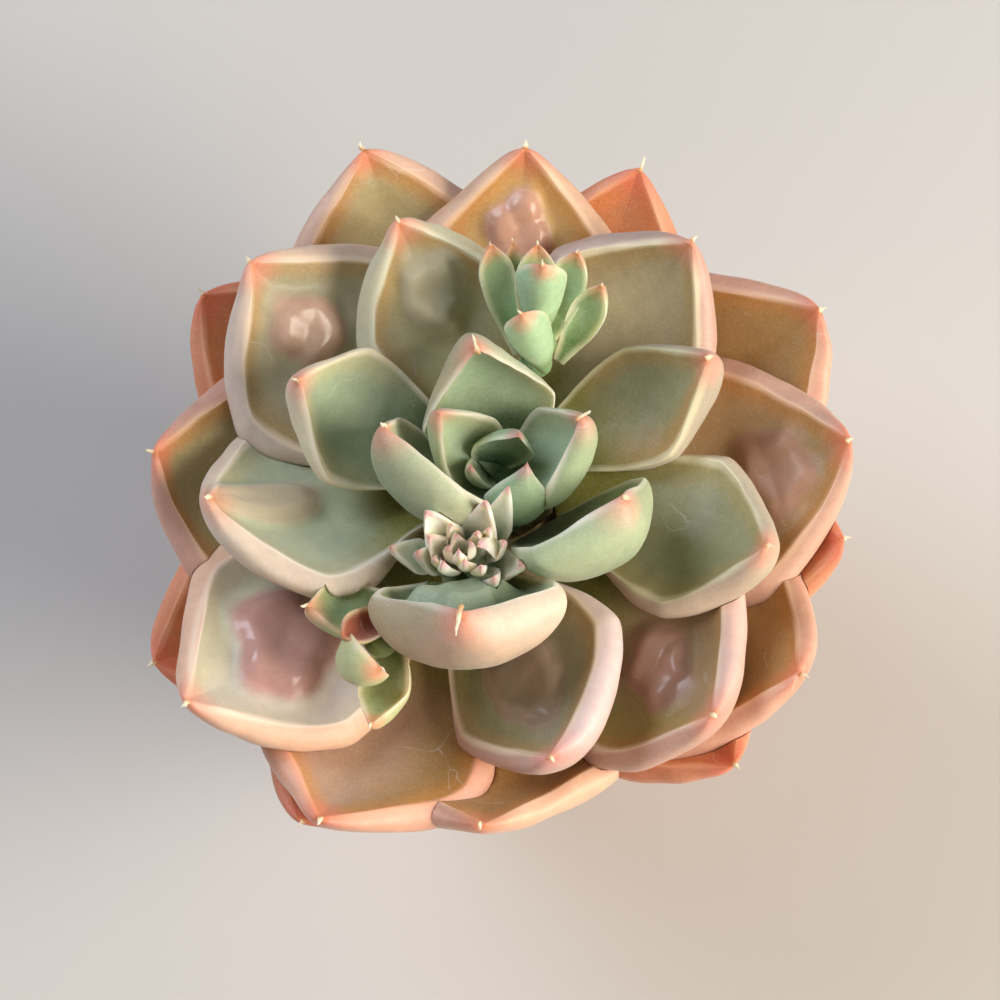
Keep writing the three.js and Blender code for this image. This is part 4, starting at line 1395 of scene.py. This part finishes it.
@dataclass
class PottingMix:
    """The filling of the pot: a crumbly bed with bark chips, perlite and grit on it, in millimetres."""

    pot: "Pot"
    top: float = 38.0
    relief: float = 0.45
    sides: int = 128
    rings: int = 46
    end_radius: float = 0.3
    stem_clearance: float = 8.0
    pot_clearance: float = 1.8
    bit_sizes: tuple[float, float] = (0.6, 1.35)
    bit_rises: tuple[float, float] = (0.1, 0.5)

    def build(self) -> None:
        """Builds the bed and what lies on it."""
        piece = self._bed()
        cutter = grown_node("stem")
        carve(piece, cutter)
        bpy.data.objects.remove(cutter)
        dress(piece, EarthyFinish("peaty potting mix", "#4a3c30", "#2c231b", "#75624c", 1.3, 0.5).material())
        mount(piece, smooth_to=60, node="soil")
        bark = EarthyFinish("bark", "#6a472e", "#452c1b", "#8f6a48", 0.9, 0.2)
        perlite = EarthyFinish("perlite", "#dedbd2", "#bdb8ac", "#f2f0ea", 0.6, 0.2)
        grit = EarthyFinish("grit", "#8d8172", "#615749", "#b5aa9a", 0.6, 0.2)
        bits = (
            ("bark_chips", 150, (1.3, 0.9, 0.45), bark),
            ("perlite", 70, (0.8, 0.75, 0.6), perlite),
            ("grit", 120, (0.65, 0.55, 0.45), grit),
        )
        for number, (name, count, size, finish) in enumerate(bits):
            piece = self._scatter(name, count, size, finish, BITS_SEED + number)
            mount(piece, smooth_to=35)

    def _bed(self) -> bpy.types.Object:
        """The bed itself, whose top is uneven."""
        floor = self.pot.floor + GAP
        edge = self.pot.inner_radius(self.top) - GAP
        profile = [(self.end_radius, floor), (self.pot.inner_radius(floor) - GAP, floor), (edge, self.top)]
        profile += [(edge * (1 - ring / self.rings), self.top) for ring in range(1, self.rings)]
        piece = turned("potting_mix_bed", profile, self.sides, closed=False)
        points = points_of(piece.data) / MM
        inside = (points[:, 2] > self.top - 1) & (np.hypot(points[:, 0], points[:, 1]) < edge - 0.3)
        high = (ripple(points, 6.0, BED_SEED) + ripple(points, 1.8, BED_SEED + 1))[:, 2] * 0.5
        points[:, 2] += inside * high * self.relief
        set_points(piece.data, points * MM)
        return piece

    def _scatter(
        self, name: str, count: int, size: Point, finish: EarthyFinish, seed: int
    ) -> bpy.types.Object:
        """Lays copies of one bit on the bed, each turned and sized by chance.

        Args:
            name: Name of the piece.
            count: How many bits.
            size: Half sizes of a bit in millimetres.
            finish: Its finish.
            seed: Seed of the random draws.

        Returns:
            The bits as one piece.
        """
        bpy.ops.object.select_all(action="DESELECT")
        bpy.ops.mesh.primitive_ico_sphere_add(subdivisions=2, radius=1, calc_uvs=False)
        first = bpy.context.object
        unit = points_of(first.data)
        unit += ripple(unit, 1.6, seed) * 0.14
        unit *= np.array(size)
        draw = np.random.default_rng(seed)
        reach = self.pot.inner_radius(self.top) - self.pot_clearance
        copies = []
        for number in range(count):
            copy = first if number == 0 else first.copy()
            if number:
                copy.data = first.data.copy()
                bpy.context.scene.collection.objects.link(copy)
            lie = Vector((0.3, 0.2, 1)).normalized()
            turn = Vector(draw.normal(size=3)).normalized().rotation_difference(lie)
            out = math.sqrt(draw.uniform((self.stem_clearance / reach) ** 2, 1)) * reach
            angle = draw.uniform(0, 2 * math.pi)
            height = self.top + draw.uniform(*self.bit_rises) * size[2]
            centre = (out * math.cos(angle), out * math.sin(angle), height)
            points = unit * draw.uniform(*self.bit_sizes) @ np.array(turn.to_matrix()).T
            set_points(copy.data, (points + np.array(centre)) * MM)
            copies.append(copy)
        piece = join(copies)
        piece.name = name
        dress(piece, finish.material())
        return piece


def turned(name: str, profile: list[tuple[float, float]], sides: int, closed: bool) -> bpy.types.Object:
    """Turns a profile round the z axis, ring by ring, as on a wheel.

    Args:
        name: Name of the piece.
        profile: Radius and height of each ring, in millimetres.
        sides: Points a ring.
        closed: Whether the last ring is bridged to the first; otherwise both ends are filled.

    Returns:
        The new piece.
    """
    bpy.ops.object.select_all(action="DESELECT")
    radius, height = profile[0]
    bpy.ops.mesh.primitive_circle_add(vertices=sides, radius=radius * MM, location=(0, 0, height * MM))
    piece = bpy.context.object
    piece.name = name
    bpy.ops.object.transform_apply(location=True, rotation=True, scale=True)
    bpy.ops.object.mode_set(mode="EDIT")
    bpy.ops.mesh.select_all(action="SELECT")
    for next_radius, next_height in profile[1:]:
        step = (0, 0, (next_height - height) * MM)
        bpy.ops.mesh.extrude_region_move(TRANSFORM_OT_translate={"value": step})
        share = next_radius / radius
        centre = (0, 0, next_height * MM)
        bpy.ops.transform.resize(value=(share, share, 1), center_override=centre)
        radius, height = next_radius, next_height
    bpy.ops.object.mode_set(mode="OBJECT")
    ends = np.zeros(len(piece.data.vertices), bool)
    ends[:sides] = True
    ends[-sides:] = True
    bpy.ops.object.mode_set(mode="EDIT")
    bpy.ops.mesh.select_all(action="DESELECT")
    bpy.ops.object.mode_set(mode="OBJECT")
    piece.data.vertices.foreach_set("select", ends)
    bpy.ops.object.mode_set(mode="EDIT")
    bpy.ops.mesh.select_mode(type="VERT")
    if closed:
        bpy.ops.mesh.select_mode(type="EDGE")
        bpy.ops.mesh.bridge_edge_loops()
    else:
        bpy.ops.mesh.fill_holes(sides=0)
    bpy.ops.mesh.select_all(action="SELECT")
    bpy.ops.mesh.normals_make_consistent(inside=False)
    bpy.ops.object.mode_set(mode="OBJECT")
    return piece


@dataclass
class Studio:
    """The pale floor, the soft lights and the camera that looks down on the rosette."""

    floor_half: float = 1.2
    elevation: float = 74.0
    distance: float = 0.320
    target: tuple[float, float, float] = (0.0, -0.0035, 0.070)
    focal_pixels: float = 2807.0
    image_pixels: float = 1000.0
    sensor: float = 36.0
    axis_above_middle: float = 8.0

    def build(self) -> None:
        """Sets up floor, lights, world and camera."""
        self._floor()
        self._lights()
        self._world()
        self._camera()

    def _floor(self) -> None:
        """Lays a plain pale floor."""
        bpy.ops.object.select_all(action="DESELECT")
        bpy.ops.mesh.primitive_plane_add(size=2 * self.floor_half, location=(0, 0, 0))
        floor = bpy.context.object
        floor.name = "floor"
        material = bpy.data.materials.new("pale paper floor")
        material.use_nodes = True
        shader = material.node_tree.nodes["Principled BSDF"]
        shader.inputs["Base Color"].default_value = linear("#c9c7c3")
        shader.inputs["Roughness"].default_value = 0.9
        dress(floor, material)

    def _lights(self) -> None:
        """Hangs the soft lights."""
        lamps = (
            ("key", (0.52, -0.16, 0.36), 0.40, 6.3, "#fff4e6"),
            ("fill", (-0.42, 0.26, 0.50), 0.36, 3.2, "#e8f0ff"),
            ("front", (-0.05, -0.60, 0.50), 0.50, 0.6, "#fff6ec"),
        )
        for name, place, size, power, colour in lamps:
            data = bpy.data.lights.new(name, "AREA")
            data.shape = "SQUARE"
            data.size = size
            data.energy = power
            data.color = linear(colour)[:3]
            lamp = bpy.data.objects.new(name, data)
            lamp.location = place
            aim = Vector(self.target) - Vector(place)
            lamp.rotation_euler = aim.to_track_quat("-Z", "Y").to_euler()
            bpy.context.scene.collection.objects.link(lamp)

    def _world(self) -> None:
        """Lights the scene softly from all round."""
        world = bpy.data.worlds.new("soft studio")
        world.use_nodes = True
        background = world.node_tree.nodes["Background"]
        background.inputs["Color"].default_value = linear("#f0f2f4")
        background.inputs["Strength"].default_value = 0.1
        bpy.context.scene.world = world
        bpy.context.scene.view_settings.view_transform = "Standard"

    def _camera(self) -> None:
        """Puts the camera at the photograph's viewing angle."""
        data = bpy.data.cameras.new("camera")
        data.sensor_width = self.sensor
        data.lens = self.focal_pixels / self.image_pixels * self.sensor
        data.shift_y = -self.axis_above_middle / self.image_pixels
        data.clip_start = 0.01
        camera = bpy.data.objects.new("camera", data)
        rise = math.radians(self.elevation)
        back = Vector((0, -math.cos(rise), math.sin(rise)))
        camera.location = Vector(self.target) + back * self.distance
        camera.rotation_euler = (math.radians(90 - self.elevation), 0, 0)
        bpy.context.scene.collection.objects.link(camera)
        bpy.context.scene.camera = camera


def main() -> None:
    """Builds the plant, its pot and the studio round the CAD frame."""
    logging.basicConfig(level=logging.INFO, format="%(message)s")
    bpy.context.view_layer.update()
    Studio().build()
    Rosette(INNER_LEAVES + MIDDLE_LEAVES + OUTER_LEAVES + LOWEST_LEAVES).build()
    for number, plan in enumerate(BUNCHES):
        Bunch(plan, BUNCH_SEED + BUNCH_SEED_STEP * number).build()
    pot = Pot()
    pot.build()
    PottingMix(pot).build()
    Stem().build()
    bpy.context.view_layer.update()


if __name__ == "__main__":
    main()
